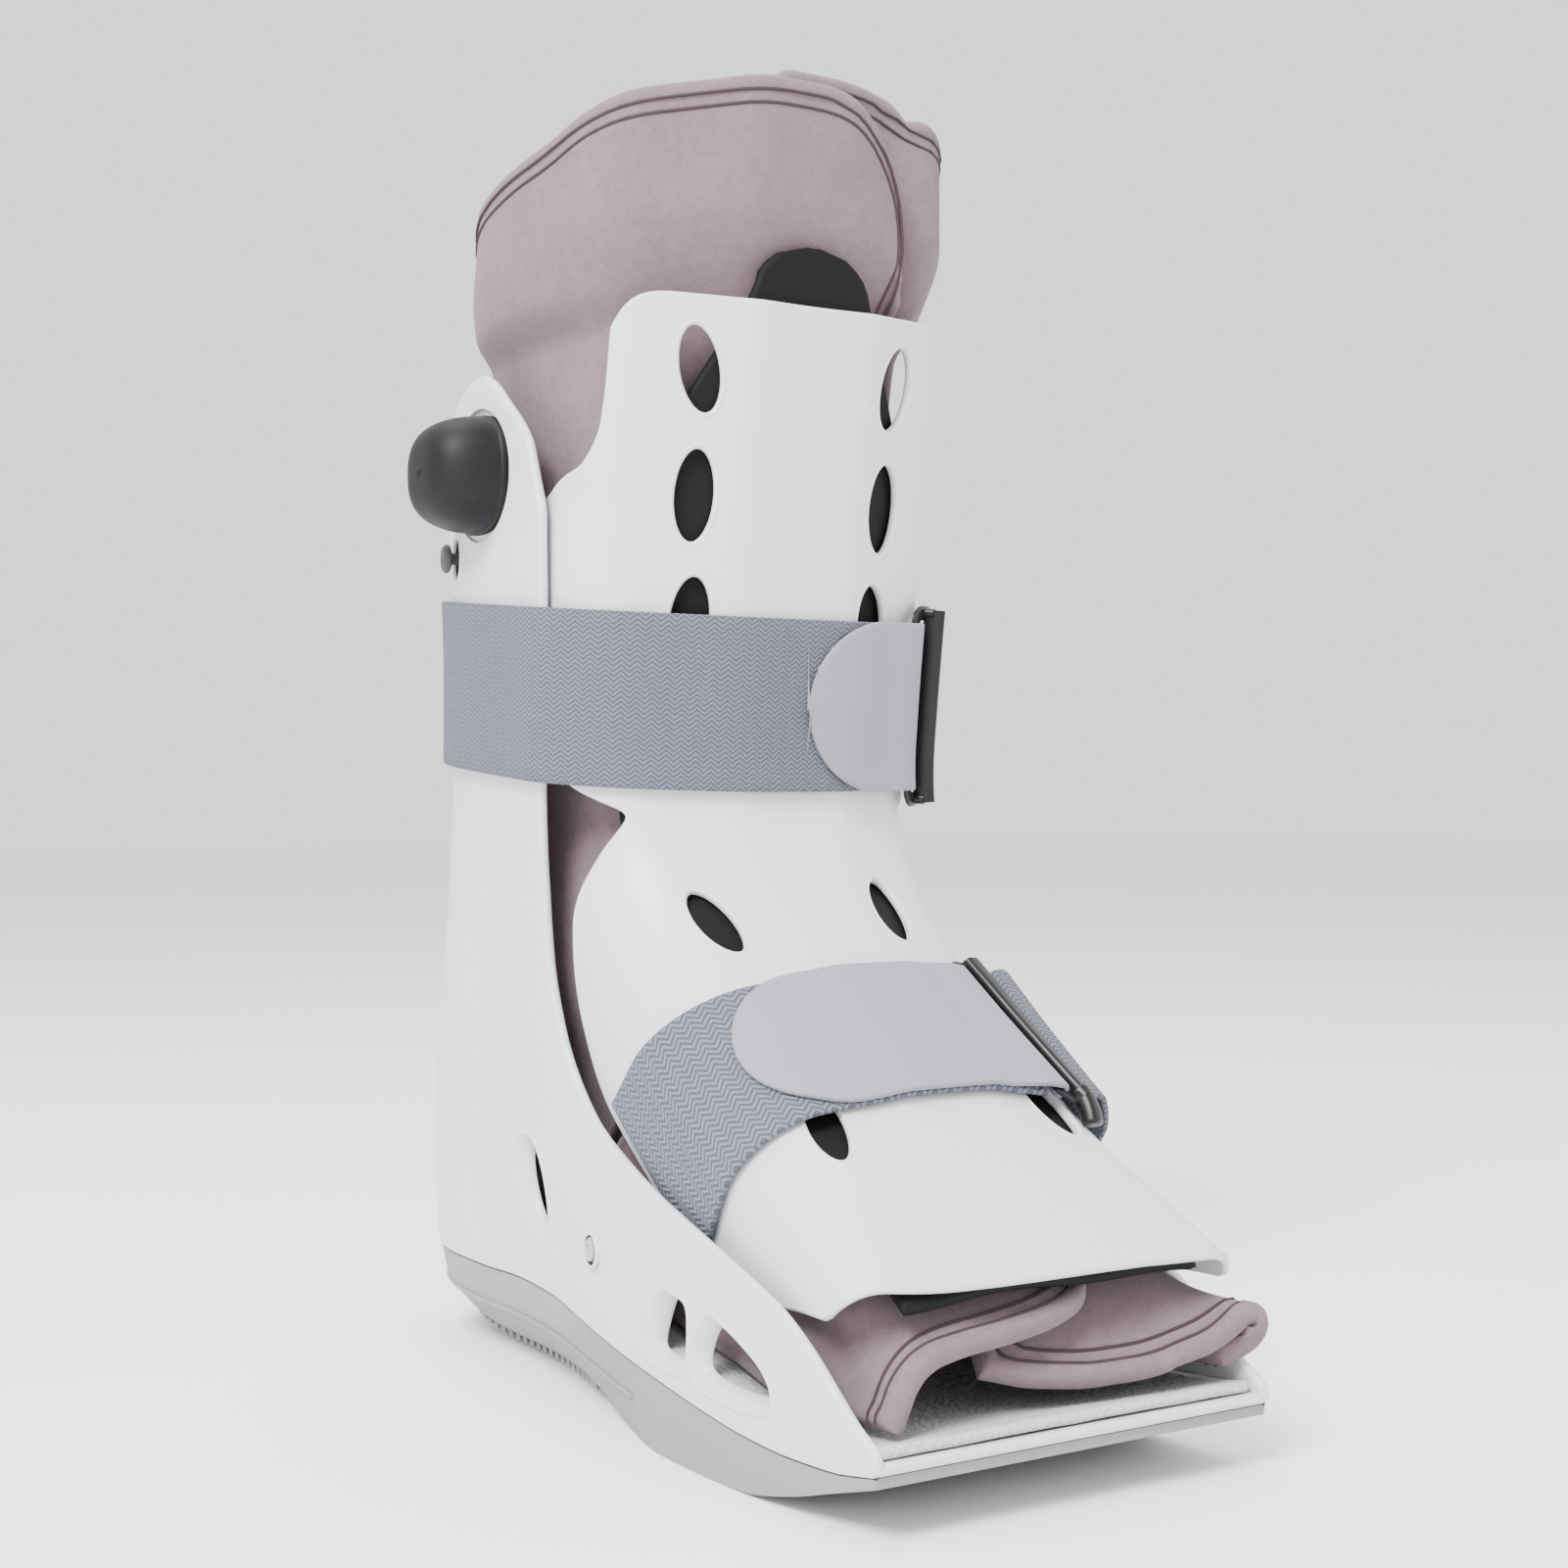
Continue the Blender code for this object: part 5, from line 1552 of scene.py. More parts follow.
    def valve_rim(self) -> None:
        """Roll the edge of the oval recess round the release valve."""
        placed = Pump.valve_place(0.0)
        path = []
        radius = VALVE_HOLE + 0.5
        for angle in turn(48):
            flat = Vector((math.cos(angle) * radius, math.sin(angle) * radius * self.valve_stretch, -0.4))
            path.append(placed @ (flat * MM) / MM)
        self.dresser.dress(Workshop.tube("valve_rim", path, 1.0, closed=True), Material.SHELL)

    def pin(self, side: int, word: str) -> None:
        """Make the head of one side pin: a low ring with a shallow round dip in its middle."""
        point, normal = rear_wall(PIN_PLACE.y, PIN_PLACE.z)
        point.x *= -side
        normal.x *= -side
        placed = frame_at(point, normal)
        radius = PIN_RADIUS + 0.6
        profile = [(PIN_RADIUS * 0.9, -2.6), (PIN_RADIUS, 0.1), (radius, 0.3), (radius, 0.9),
                   (radius * 0.85, 1.2), (radius * 0.6, 1.2), (radius * 0.5, 0.5), (radius * 0.3, 0.4)]
        head = Workshop.turned(f"pin_head_{word}", profile, placed, 40)
        self.dresser.dress(head, Material.PIN, f"pin_{word}")
        # The black ring laid between the pin's head and its shell rim is painted shade: it stands for the
        # shadow inside the groove there, not a part of its own.
        rings = (("rim", 1.75, 0.65, Material.SHELL), ("groove_shade", 0.75, 0.4, Material.RUBBER))
        for name, reach, thick, finish in rings:
            ring = [placed @ (Vector((math.cos(a), math.sin(a), 0.06)) * (radius + reach) * MM) / MM
                    for a in turn(40)]
            tube = Workshop.tube(f"pin_{name}_{word}", ring, thick, closed=True, sides=10)
            self.dresser.dress(tube, finish)


@dataclass
class Sole:
    """The rocker outsole with its tread, and the looped insole on the tray's floor."""

    dresser: Dresser
    columns: int = 84
    teeth: int = 30
    tooth: float = 1.4
    tooth_height: float = 0.12
    tread_end_y: float = -30.0
    ridge_height: float = 0.56
    ridge_end_y: float = -75.0
    insole_back: float = 88.0

    def point(self, x: float, y: float, share: float, height: float, inset: float) -> Vector:
        """Return a point: share runs from the sole's spine to its edge, height up from its foot."""
        spine_y = min(y, HEEL_SPINE_Y)
        pull = SOLE_AT["inset"](y) * inset
        edge_x = min(0.0, x + pull * min(1.0, abs(x) / 20))
        edge_y = y - max(0.0, pull) * max(0.0, (y - HEEL_SPINE_Y) / 46)
        py = spine_y + (edge_y - spine_y) * share
        top = SOLE_AT["seam_z"](py) - SEAM_GAP
        foot = SOLE_AT["ground_z"](py)
        return Vector((edge_x * share, py, foot + (top - foot) * height))

    def outline(self, rise: float = 0.0) -> list[tuple[float, float]]:
        """Return the left half of the sole's outline, from the heel to the toe."""
        return [rear_point(j / self.columns, rise, LIP_Z) for j in range(self.columns + 1)]

    def build(self) -> None:
        """Build the sole, its tread and the insole."""
        inset_at = smooth_curve([level.height for level in SOLE_LEVELS],
                                [level.inset for level in SOLE_LEVELS])
        levels = [i / 18 for i in range(18, -1, -1)]
        outline = self.outline()
        rows = [[self.point(x, y, share, 1.0, 0.0) for x, y in outline] for share in (0.0, 0.5, 0.96)]
        for level in levels:
            edge = 0.5 * max(0.0, 1 - (1 - level) * 18) + 0.35
            rows.append([self.point(min(0.0, x + edge), y, 1.0, level, inset_at(level)) for x, y in outline])
        rows += [[self.point(x, y, share, 0.0, 1.0) for x, y in outline] for share in (0.97, 0.5, 0.0)]
        sole = Workshop.surface("rocker_outsole", rows)
        Workshop.mirror(sole)
        bm = bmesh.new()
        bm.from_mesh(sole.data)
        bmesh.ops.holes_fill(bm, edges=[e for e in bm.edges if e.is_boundary], sides=0)
        bmesh.ops.recalc_face_normals(bm, faces=bm.faces)
        LOG.info("outsole: %d open edges", sum(e.is_boundary for e in bm.edges))
        bm.to_mesh(sole.data)
        bm.free()
        Workshop.smooth(sole, 50)
        self.dresser.dress(sole, Material.OUTSOLE, "outsole")
        self.tread(inset_at)
        self.ridge(inset_at)
        self.seam()
        self.insole()

    def tread(self, inset_at: Callable[[float], float]) -> None:
        """Set low teeth along the foot of the sole's side, from the heel to the arch."""
        outline = [(x, y) for x, y in self.outline() if self.tread_end_y < y]
        inset = inset_at(self.tooth_height)
        path = [self.point(x, y, 1.0, self.tooth_height, inset) for x, y in outline]
        spots = resample(path, self.teeth)
        rows: list[bpy.types.Object] = []
        for side in (-1, 1):
            for i, spot in enumerate(spots[1:-1]):
                run = (spots[i + 2] - spots[i]).normalized()
                out = Vector((run.y, -run.x, 0)).normalized()
                out = out if out.x < 0 or out.y > 0.7 else -out
                low = spot + out * 0.1 - Vector((0, 0, 1.0))
                high = spot + out * 0.5 + Vector((0, 0, 1.9))
                ends = [Vector((p.x * -side, p.y, p.z)) for p in (low, high)]
                rows.append(Workshop.tube(f"tread_tooth_{len(rows)}", ends, self.tooth / 2, 0.7, sides=8,
                                          squareness=5.0))
        Workshop.select(*rows)
        bpy.ops.object.join()
        joined = bpy.context.active_object
        joined.name = "tread_teeth"
        self.dresser.dress(joined, Material.OUTSOLE)

    def ridge(self, inset_at: Callable[[float], float]) -> None:
        """Raise the line that parts the tinted band from the sole's foot, from the heel to the arch."""
        inset = inset_at(self.ridge_height)
        outline = [(x, y) for x, y in self.outline() if y > self.ridge_end_y]
        line = [self.point(x, y, 1.0, self.ridge_height, inset) for x, y in outline]
        for side, word in ((1, "left"), (-1, "right")):
            path = resample([Vector((side * p.x, p.y, p.z)) for p in line], 60, 4.0)
            self.dresser.dress(Workshop.tube(f"sole_ridge_{word}", path, 0.7, sides=10), Material.OUTSOLE)

    def seam(self) -> None:
        """Lay the dark joint line between the shell and the sole."""
        path = []
        for x, y in self.outline():
            path.append(Vector((min(0.0, x + 0.75), y, SOLE_AT["seam_z"](y) - SEAM_GAP / 2)))
        for side, word in ((1, "left"), (-1, "right")):
            line = [Vector((side * p.x, p.y, p.z)) for p in path]
            self.dresser.dress(Workshop.tube(f"sole_joint_{word}", line, 0.55, sides=8), Material.THREAD)

    def insole(self) -> None:
        """Lay the insole on the tray's floor."""
        inset = REAR_WALL + 1.2
        rows = []
        for i in range(15):
            share = i / 14
            row = []
            for x, y in self.outline(3.0):
                spine_y = min(y, HEEL_SPINE_Y)
                edge_y = min(y, self.insole_back)
                py = min(max(spine_y + (edge_y - spine_y) * share, TOE_Y + 2.0), self.insole_back)
                crown = 0.35 * noise.noise(Vector((x * share, py, 0)) * 0.06)
                px = -max(0.0, abs(x) - inset) * share
                row.append((px, py, SOLE_AT["seam_z"](py) + REAR_WALL + 0.5 + INSOLE_THICK + crown))
            rows.append(row)
        pad = Workshop.surface("looped_insole", rows, flip=True)
        Workshop.mirror(pad)
        Workshop.thicken(pad, INSOLE_THICK, 1.2, 3)
        Workshop.smooth(pad, 50)
        self.dresser.dress(pad, Material.LOOP_FABRIC, "insole")


@dataclass
class FrontShell:
    """The front shell with its vents' rolled rims, and the black pad behind it."""

    dresser: Dresser
    wall: float = FRONT_WALL
    rows: int = 104
    steps: int = 42
    far_wider: float = 1.25
    far_shift: float = 2.0
    pad_rows: int = 70
    pad_steps: int = 24
    edge_steps: int = 460
    plug_height: float = 14.0

    def build(self) -> None:
        """Build the shell, its vents and the pad."""
        last = len(FRONT) - 1
        rows = []
        for i in range(self.rows + 1):
            share = i / self.rows
            sides = []
            for side in (-1, 1):
                half = []
                for j in range(self.steps + 1):
                    edge = j / self.steps
                    lag = TOE_LAG[side] * edge ** 4
                    top = 0.14 * (1 - edge ** 2) + 0.5 * edge ** 14
                    row = top * (1 - share) + share * (last - lag)
                    half.append(self.section_point(row, j, side))
                sides.append(half)
            rows.append(list(reversed(sides[0])) + sides[1][1:])
        shell = Workshop.surface("front_shell_moulding", rows, flip=True)
        self.skin = Skin(shell)
        Workshop.thicken(shell, self.wall)
        cutters = []
        paths = {}
        for vent in VENTS:
            for side, word in SIDES:
                placed = self.vent_place(vent, side)
                name = f"vent_{vent.name}_{word}"
                size = vent.length / vent.width
                wide = self.far_wider if side > 0 else 1.0
                cutters.append(Workshop.plug(name, vent.width / 2, self.plug_height, placed, wide, size))
                paths[name] = self.vent_path(vent, placed, wide)
        Workshop.cut(shell, cutters)
        Workshop.smooth(shell, 42)
        self.dresser.dress(shell, Material.SHELL, "front_shell")
        cloth = Cloth(rows, flip=True, fine=1)
        parts = [(grid[0], grid[1:, -1], grid[-1, -2::-1], grid[-2::-1, 0])
                 for grid in (cloth.points, cloth.normals)]
        loop, facing = (np.concatenate(part) for part in parts)
        bead = Workshop.rolled("front_shell_edge", loop, facing, self.wall, self.edge_steps)
        self.dresser.dress(bead, Material.SHELL)
        for name, (path, normals) in paths.items():
            rim = Workshop.tube(f"{name}_rim", path, 1.0, self.wall / 2 + 0.25, normals, closed=True,
                                sides=14)
            self.dresser.dress(rim, Material.SHELL)
        self.pad()

    def section_point(self, row: float, j: int, side: int) -> Vector:
        """Return one point of a section, j steps from the crest."""
        key = round(row, 5)
        if key not in SECTIONS:
            SECTIONS[key] = cut_path(front_path(**front_values(row)), FRONT_AT["reach"](row), self.steps)
        x, q = SECTIONS[key][j]
        crest, behind = front_frame(row)
        return crest + Vector((side * x, 0, 0)) + behind * q

    def vent_place(self, vent: Vent, side: int) -> Matrix:
        """Return the frame of a vent's cutter, under the shell's face."""
        row = front_row_at("crest_z", vent.crest_z)
        across = side * vent.across + vent.shift - (self.far_shift if side > 0 else 0.0)
        centre = instep_point(row, across, 0)
        along_row = (instep_point(row - 0.2, across, 0) - centre).normalized()
        sideways = instep_point(row, across + side * 2, 0) - centre
        normal = sideways.cross(along_row).normalized() * side
        lean = Matrix.Rotation(math.radians(vent.lean) * side, 3, normal)
        return frame_at(centre - normal * self.plug_height / 2, normal, lean @ along_row)

    def vent_path(self, vent: Vent, placed: Matrix, wide: float) -> tuple[list[Vector], list[Vector]]:
        """Return the middle line of a vent's rim and the normals along it."""
        path = []
        normals = []
        outward = placed.to_3x3().col[2]
        for angle in turn(56):
            flat = Vector((math.cos(angle) * vent.width * wide / 2, math.sin(angle) * vent.length / 2, 30.0))
            found = self.skin.along(placed @ (flat * MM) / MM, -outward)
            if found is None:
                continue
            point, normal = found
            path.append(point - normal * self.wall / 2)
            normals.append(normal)
        return path, normals

    def pad(self) -> None:
        """Make the black pad, whose rounded top stands above the shell."""
        half_at = smooth_curve([p.row for p in PAD], [p.half for p in PAD])
        start, end = PAD[0].row, len(FRONT) - 1.02
        rows = []
        for i in range(self.pad_rows + 1):
            share = i / self.pad_rows
            sample = start + (end - start) * (0.5 * share + 0.5 * share ** 1.6 if share < 1 else 1.0)
            half = half_at(sample) * (1 - 0.1 * max(0.0, (share - 0.8) / 0.2))
            row = []
            for j in range(-self.pad_steps, self.pad_steps + 1):
                across = half * j / self.pad_steps
                wave = 0.8 * math.sin(across * 0.11) * max(0.0, (share - 0.85) / 0.15)
                point = instep_point(max(sample, 0.0), across, -PAD_DEPTH - 0.3 - wave)
                if sample < 0:
                    point.z -= sample * 19.0
                    point.y += sample * 0.5
                row.append(point)
            rows.append(row)
        pad = Workshop.padded("front_pad_cover", Cloth(rows, flip=True), PAD_THICK)
        self.dresser.dress(pad, Material.FOAM, "front_pad")


SECTIONS: dict[float, list[Vector]] = {}


@dataclass
class Liner:
    """The padded liner: the leg sleeve with its bound rim, and the two flaps at the foot."""

    dresser: Dresser
    wall: float = LINER_WALL
    ring_points: int = 190
    levels: int = 84
    top_level: float = 398.0
    bottom_level: float = 60.0
    roll: float = 4.6
    proud: float = 0.55
    outer_corner: float = 35.0
    inner_corner: float = 9.0
    seams: tuple[float, float] = (0.5, 3.9)
    thread: float = 0.5
    sleeve_seam_start: float = 0.62
    foot_seam_start: float = 0.45
    fill: float = 0.5
    ankle_rounds: int = 8
    level_step: float = 2.0
    foot_rows: int = 46
    foot_points: int = 60

    def leg_half(self, z: float) -> list[tuple[float, float]]:
        """Return one half of the sleeve's outline at one level, from the shin to the calf."""
        front, half, turn, back, panel = (
            LEG_AT[name](z) for name in ("front_y", "half", "turn_y", "back_y", "panel")
        )
        path = [(x, q) for x, q in front_path(half, 18, panel, 22, LINER_LEAN) if q < turn - front]
        side = path[-1][0]
        points = [(x, front + q) for x, q in path]
        for i in range(1, 25):
            angle = math.radians(90 * (1 - i / 24))
            power = 2 / 2.3
            points.append((side * math.sin(angle) ** power, turn + (back - turn) * math.cos(angle) ** power))
        return points

    def ring(self, z: float) -> list[Vector]:
        """Return the sleeve's open ring at one level: outer flap, left, back, right, inner flap."""
        half = self.leg_half(z)
        front = half[0][1]
        outer = [(p.x, front + p.rise) for p in OUTER_FLAP]
        inner = [(p.x, front + p.rise) for p in INNER_FLAP]
        left = [(-x, y) for x, y in half]
        right = [(x, y) for x, y in reversed(half) if x > INNER_FLAP[0].x + 6 or y > 0]
        return resample(outer + left + right[1:] + inner, self.ring_points, 5.0)

    def sleeve_rows(self) -> list[list[Vector]]:
        """Return the sleeve's rows from the ankle's cut to the rim."""
        count = int((self.top_level - self.bottom_level) / self.level_step)
        marks = [self.bottom_level + self.level_step * i for i in range(count + 1)]
        rings = np.array([[tuple(p) for p in self.ring(z)] for z in marks])

        def at(k: int, z: float) -> tuple[float, float]:
            return float(np.interp(z, marks, rings[:, k, 0])), float(np.interp(z, marks, rings[:, k, 1]))

        length = path_lengths([tuple(p) for p in rings[-1]])
        columns = []
        for k in range(self.ring_points + 1):
            low = 100.0
            for _ in range(self.ankle_rounds):
                low = max(self.bottom_level, ANKLE_CREST.z + ANKLE_CREST.y - at(k, low)[1])
            tip = min(length[k], length[-1] - length[k])
            inner = k > self.ring_points / 2
            radius = self.inner_corner if inner else self.outer_corner
            round_off = radius * (1 - math.sqrt(max(0.0, 1 - max(0.0, 1 - tip / radius) ** 2)))
            column = []
            for i in range(self.levels + 1):
                z = low + (self.top_level - low) * i / self.levels
                x, y = at(k, z)
                rim = self.rim_height(x, y, inner) - round_off
                share = max(0.0, (z - RIM_BASE) / (self.top_level - RIM_BASE))
                height = z if z <= RIM_BASE else RIM_BASE + share * (rim - RIM_BASE)
                place = Vector((x, y, height))
                swell = 0.8 * noise.noise(place * 0.018) + 0.3 * noise.noise(place * 0.06)
                column.append(place + Vector((x, y - 10, 0)).normalized() * swell)
            columns.append(column)
        return [list(row) for row in zip(*columns)]

    @staticmethod
    def rim_height(x: float, y: float, inner: bool) -> float:
        """Return the height of the sleeve's rim above a place on its outline."""
        share = min(1.0, max(0.0, 0.5 + x / 16)) if y > 0 else float(inner)
        if inner and x < FAR_CORNER_X:
            y -= FAR_CORNER_SHIFT * min(1.0, (FAR_CORNER_X - x) / FAR_CORNER_RUN)
        return RIM_AT["left_z"](y) * (1 - share) + RIM_AT["right_z"](y) * share

    def build(self) -> None:
        """Build the sleeve and both foot flaps, with their sewn edges."""
        cloth = Cloth(self.sleeve_rows(), flip=True)
        sleeve = Workshop.padded("leg_sleeve", cloth, self.wall, self.roll, self.proud)
        self.dresser.dress(sleeve, Material.FLEECE, "liner_leg")
        start = int(len(cloth.points) * self.sleeve_seam_start)
        self.sew("sleeve", sleeve, cloth, start, True)
        for side, word in SIDES:
            self.foot_flap(side, word)

    def sew(self, name: str, piece: bpy.types.Object, cloth: Cloth, start: int, both: bool) -> None:
        """Lay the two dark sewn lines inside a bound edge."""
        skin = Skin(piece)
        for k, reach in enumerate(self.roll + seam for seam in self.seams):
            line = []
            for point in cloth.hem(reach, start, both, 1.2):
                found, normal = skin.nearest(point)
                line.append(found + normal * 0.08)
            thread = Workshop.tube(f"{name}_seam_{k + 1}", line, self.thread, sides=6)
            self.dresser.dress(thread, Material.THREAD)

    def foot_section(self, row: FootRow, side: int) -> list[Vector]:
        """Return one flap of the foot liner at one section, from its tip to the tray's floor."""
        tilt = math.radians(row.tilt)
        behind = Vector((0, math.cos(tilt), -math.sin(tilt)))
        crest = Vector((0, row.crest_y, row.crest_z))
        path = front_path(row.half, 14, row.panel, row.corner)
        corner_q = path[16][1]
        reach = 20.0
        while crest.z + behind.z * reach > SOLE_AT["seam_z"](crest.y + behind.y * reach) + FOOT_FLOOR:
            reach += 0.5
        points = [(x, q) for x, q in path[:17] if q < reach]
        points.append((row.half - 0.4, corner_q + (reach - corner_q) * 0.45))
        points.append((row.floor_half, reach))
        inner = FLAP_LAP if side > 0 else 0.0
        tip = [(-row.lap, inner), (-row.lap / 2, inner)]
        points = tip + [(x, q + inner * max(0.0, min(1.0, (34 - x) / 14))) for x, q in points]
        spaced = resample(points, self.foot_points, 3.0)
        return [crest + Vector((side * x, 0, 0)) + behind * q for x, q in spaced]

    def toe_section(self, side: int) -> list[Vector]:
        """Return the toe end of one flap, from its tip to the tray's floor."""
        table = TOE_LEFT if side < 0 else TOE_RIGHT
        return resample([Vector((p.x, p.y, p.z)) for p in table], self.foot_points, 4.5)

    def foot_flap(self, side: int, word: str) -> None:
        """Make one side of the foot liner with its hem."""
        keys = [self.foot_section(row, side) for row in FOOT] + [self.toe_section(side)]
        knots = [0.0]
        for a, b in zip(keys, keys[1:]):
            knots.append(knots[-1] + sum((q - p).length for p, q in zip(a, b)) / len(a))
        rows = [[] for _ in range(self.foot_rows + 1)]
        for j in range(self.foot_points + 1):
            tracks = [smooth_curve(knots, [key[j][k] for key in keys]) for k in range(3)]
            for i in range(self.foot_rows + 1):
                s = knots[-1] * i / self.foot_rows
                place = Vector([track(s) for track in tracks])
                sag = 0.9 * noise.noise(place * 0.035 + Vector((0, 0, side * 9.0)))
                rows[i].append(place + Vector((0, 0, sag if place.z > 34 else 0.0)))
        cloth = Cloth(rows, flip=side > 0)
        flap = Workshop.padded(f"foot_flap_{word}", cloth, self.wall - 0.5, self.roll, self.proud)
        self.dresser.dress(flap, Material.FLEECE, f"liner_foot_{word}")
        self.sew(f"foot_{word}", flap, cloth, int(len(cloth.points) * self.foot_seam_start), False)


@dataclass
class Strap:
    """One strap set: the main band, its tab folded back through the ring, and the ring."""

    dresser: Dresser
    name: str
    sizes: StrapRow
    width: float
    webbing: Material
    lift: float
    spacing: float = 3.0
    width_steps: int = 12
    thick: float = WEBBING_THICK
    fold: float = 3.7
    plate: float = 0.7
    reach: float = RING_HALF
    bar_shift: float = 5.8
    bar_lift: float = 7.6
    bar_half: float = 1.5
    bar_tall: float = 3.3
    knob: float = 0.0
    ring_corner: float = 3.0
    wire_half: float = 2.3
    wire_square: float = 3.2
    bar_square: float = 3.4
    ring_clear: float = 3.2

    def place(self, s: float, rise: float, lift: float) -> Vector:
        """Return a point: s millimetres right of the crest, at a rise across the band and a lift."""
        raise NotImplementedError

    def stations(self, start: float, end: float, lift: float) -> list[tuple[float, float]]:
        """Return evenly spaced (s, lift) stations."""
        count = max(2, round(abs(end - start) / self.spacing))
        return [(start + (end - start) * i / count, lift) for i in range(count + 1)]

    @staticmethod
    def wrapped(bar: float, side: int, low: float, high: float) -> list[tuple[float, float]]:
        """Return the stations of a band that passes round a ring's bar from its low side to its high."""
        path = [(bar - side * 2.5, low)]
        for i in range(13):
            angle = math.pi * i / 12
            out = (high - low) / 2 * math.sin(angle)
            path.append((bar + side * out, (low + high) / 2 - (high - low) / 2 * math.cos(angle)))
        return path

    def band(self, name: str, finish: Material, path: Sequence[tuple[float, float]],
             half_at: Callable[[float], float], *nodes: str) -> None:
        """Make a band through (s, lift) stations, with its weave laid along it."""
        rows = []
        uvs = []
        run = 0.0
        before: Vector | None = None
        for s, lift in path:
            half = half_at(s)
            middle = self.place(s, 0.0, lift)
            run += (middle - before).length if before is not None else 0.0
            before = middle
            rises = [half * (2 * i / self.width_steps - 1) for i in range(self.width_steps + 1)]
            rows.append([self.place(s, rise, lift) for rise in rises])
            uvs.append([(run * MM, rise * MM) for rise in rises])
        piece = Workshop.surface(name, rows, uvs=uvs)
        Workshop.thicken(piece, self.thick, 0.55, 2, offset=0.0)
        Workshop.smooth(piece, 50)
        self.dresser.dress(piece, finish, *nodes)

    @property
    def low(self) -> float:
        """Return the lift of a band that lies on the shell."""
        return self.lift + self.thick / 2

    @property
    def high(self) -> float:
        """Return the lift of a band that lies over the ring."""
        return self.low + self.fold

    @property
    def flat(self) -> float:
        """Return the lift of a band that lies on another one."""
        return self.low + self.thick + 0.35

    def tab_half(self, s: float) -> float:
        """Return half of the tab's width, which rounds to its tip."""
        left = s - self.sizes.tab_tip
        radius = self.sizes.tab_half
        full = self.width / 2 + 0.3
        if left >= radius:
            return full
        return max(0.8, full * math.sqrt(max(0.0, 1 - ((radius - left) / radius) ** 2)))

    def tab(self) -> None:
        """Make the hook tab, from round the ring's near bar to its rounded tip."""
        ring, tip, radius = self.sizes.ring, self.sizes.tab_tip, self.sizes.tab_half
        fold = self.wrapped(ring, 1, self.low, self.high)[1:] + [(ring - 5.0, self.high)]
        fold += [(ring - 5 - 3 * i, self.high + (self.flat - self.high) * i / 4) for i in range(1, 5)]
        fold += self.stations(ring - 19, tip + radius, self.flat)
        fold += [(tip + radius * (1 - math.sin(math.radians(a))), self.flat) for a in range(6, 91, 6)]
        self.band(f"{self.name}_hook_tab", Material.HOOK_TAPE, fold, self.tab_half, f"{self.name}_tab")

    def ring_loop(self) -> None:
        """Make the moulded ring, a rounded rectangle of flat bar."""
        near, far, half = self.sizes.ring, self.sizes.far_bar, self.reach
        middle = (self.low + self.high) / 2
        radius = self.ring_corner
        flat = []
        for cs, cr, start in ((near + radius, -half + radius, 180), (far - radius, -half + radius, 270),
                              (far - radius, half - radius, 0), (near + radius, half - radius, 90)):
            for i in range(7):
                angle = math.radians(start + 90 * i / 6)
                flat.append((cs + radius * math.cos(angle), cr + radius * math.sin(angle)))
        lengths = path_lengths([*flat, flat[0]])
        even = [(float(np.interp(s, lengths, [p[0] for p in (*flat, flat[0])])),
                 float(np.interp(s, lengths, [p[1] for p in (*flat, flat[0])])))
                for s in np.linspace(0, lengths[-1], 121)[:-1]]
        path = [self.place(s, rise, middle) for s, rise in even]
        normals = [self.place(s, rise, middle + 2) - self.place(s, rise, middle) for s, rise in even]
        bar = Workshop.tube(f"{self.name}_ring_loop", path, self.wire_half, self.plate, normals,
                            closed=True, sides=16, squareness=self.wire_square)
        self.dresser.dress(bar, Material.RING, f"{self.name}_ring")
        self.crossbar(middle)

    def crossbar(self, middle: float) -> None:
        """Make the ring's flat outer bar, which stands over the tab's fold and turns down at its ends."""
        top = self.bar_lift
        s = self.sizes.ring + self.bar_shift
        ends = [(1.0, middle), (1.6, (middle + top) / 2), (1.0, top)]
        stations = [(-self.reach - out, lift) for out, lift in ends]
        stations += [(self.reach * (2 * i / 24 - 1), top) for i in range(25)]
        stations += [(self.reach + out, lift) for out, lift in reversed(ends)]
        path = [self.place(s, rise, lift) for rise, lift in stations]
        normals = [self.place(s, rise, lift + 2) - self.place(s, rise, lift - 2) for rise, lift in stations]
        for k in (0, 1, 2, -1, -2, -3):
            normals[k] = self.place(s + 2, stations[k][0], top) - self.place(s - 2, stations[k][0], top)
        straight = slice(2, len(path) - 2)
        normals[2], normals[-3] = normals[3], normals[-4]
        bar = Workshop.tube(f"{self.name}_ring_bar", path[straight], self.bar_half, self.bar_tall,
                            normals[straight], sides=20, squareness=self.bar_square)
        self.dresser.dress(bar, Material.RING)
        for word, rise in (("low", -self.reach), ("high", self.reach)):
            leg = [self.place(s, rise, lift) for lift in (middle - 0.3, (middle + top) / 2, top)]
            normal = self.place(s, rise + 1, top) - self.place(s, rise - 1, top)
            foot = Workshop.tube(f"{self.name}_ring_foot_{word}", leg, self.bar_half + 0.6, 1.5,
                                 [normal] * 3, sides=16, squareness=self.bar_square)
            self.dresser.dress(foot, Material.RING)
        if self.knob > 0:
            heel = [self.place(s, rise, lift) for rise, lift in ((-23.0, top - 0.5), (-27.0, top - 1.0),
                                                                  (-31.0, top - 2.6), (-33.5, top - 4.5))]
            end = Workshop.tube(f"{self.name}_ring_end", resample(heel, 10, 1.5), self.knob, self.knob * 0.85,
                                sides=20, squareness=2.6)
            Workshop.apply(end, "BEVEL", width=self.knob * 0.5 * MM, segments=3, limit_method="ANGLE",
                           angle_limit=math.radians(50))
            self.dresser.dress(end, Material.RING)


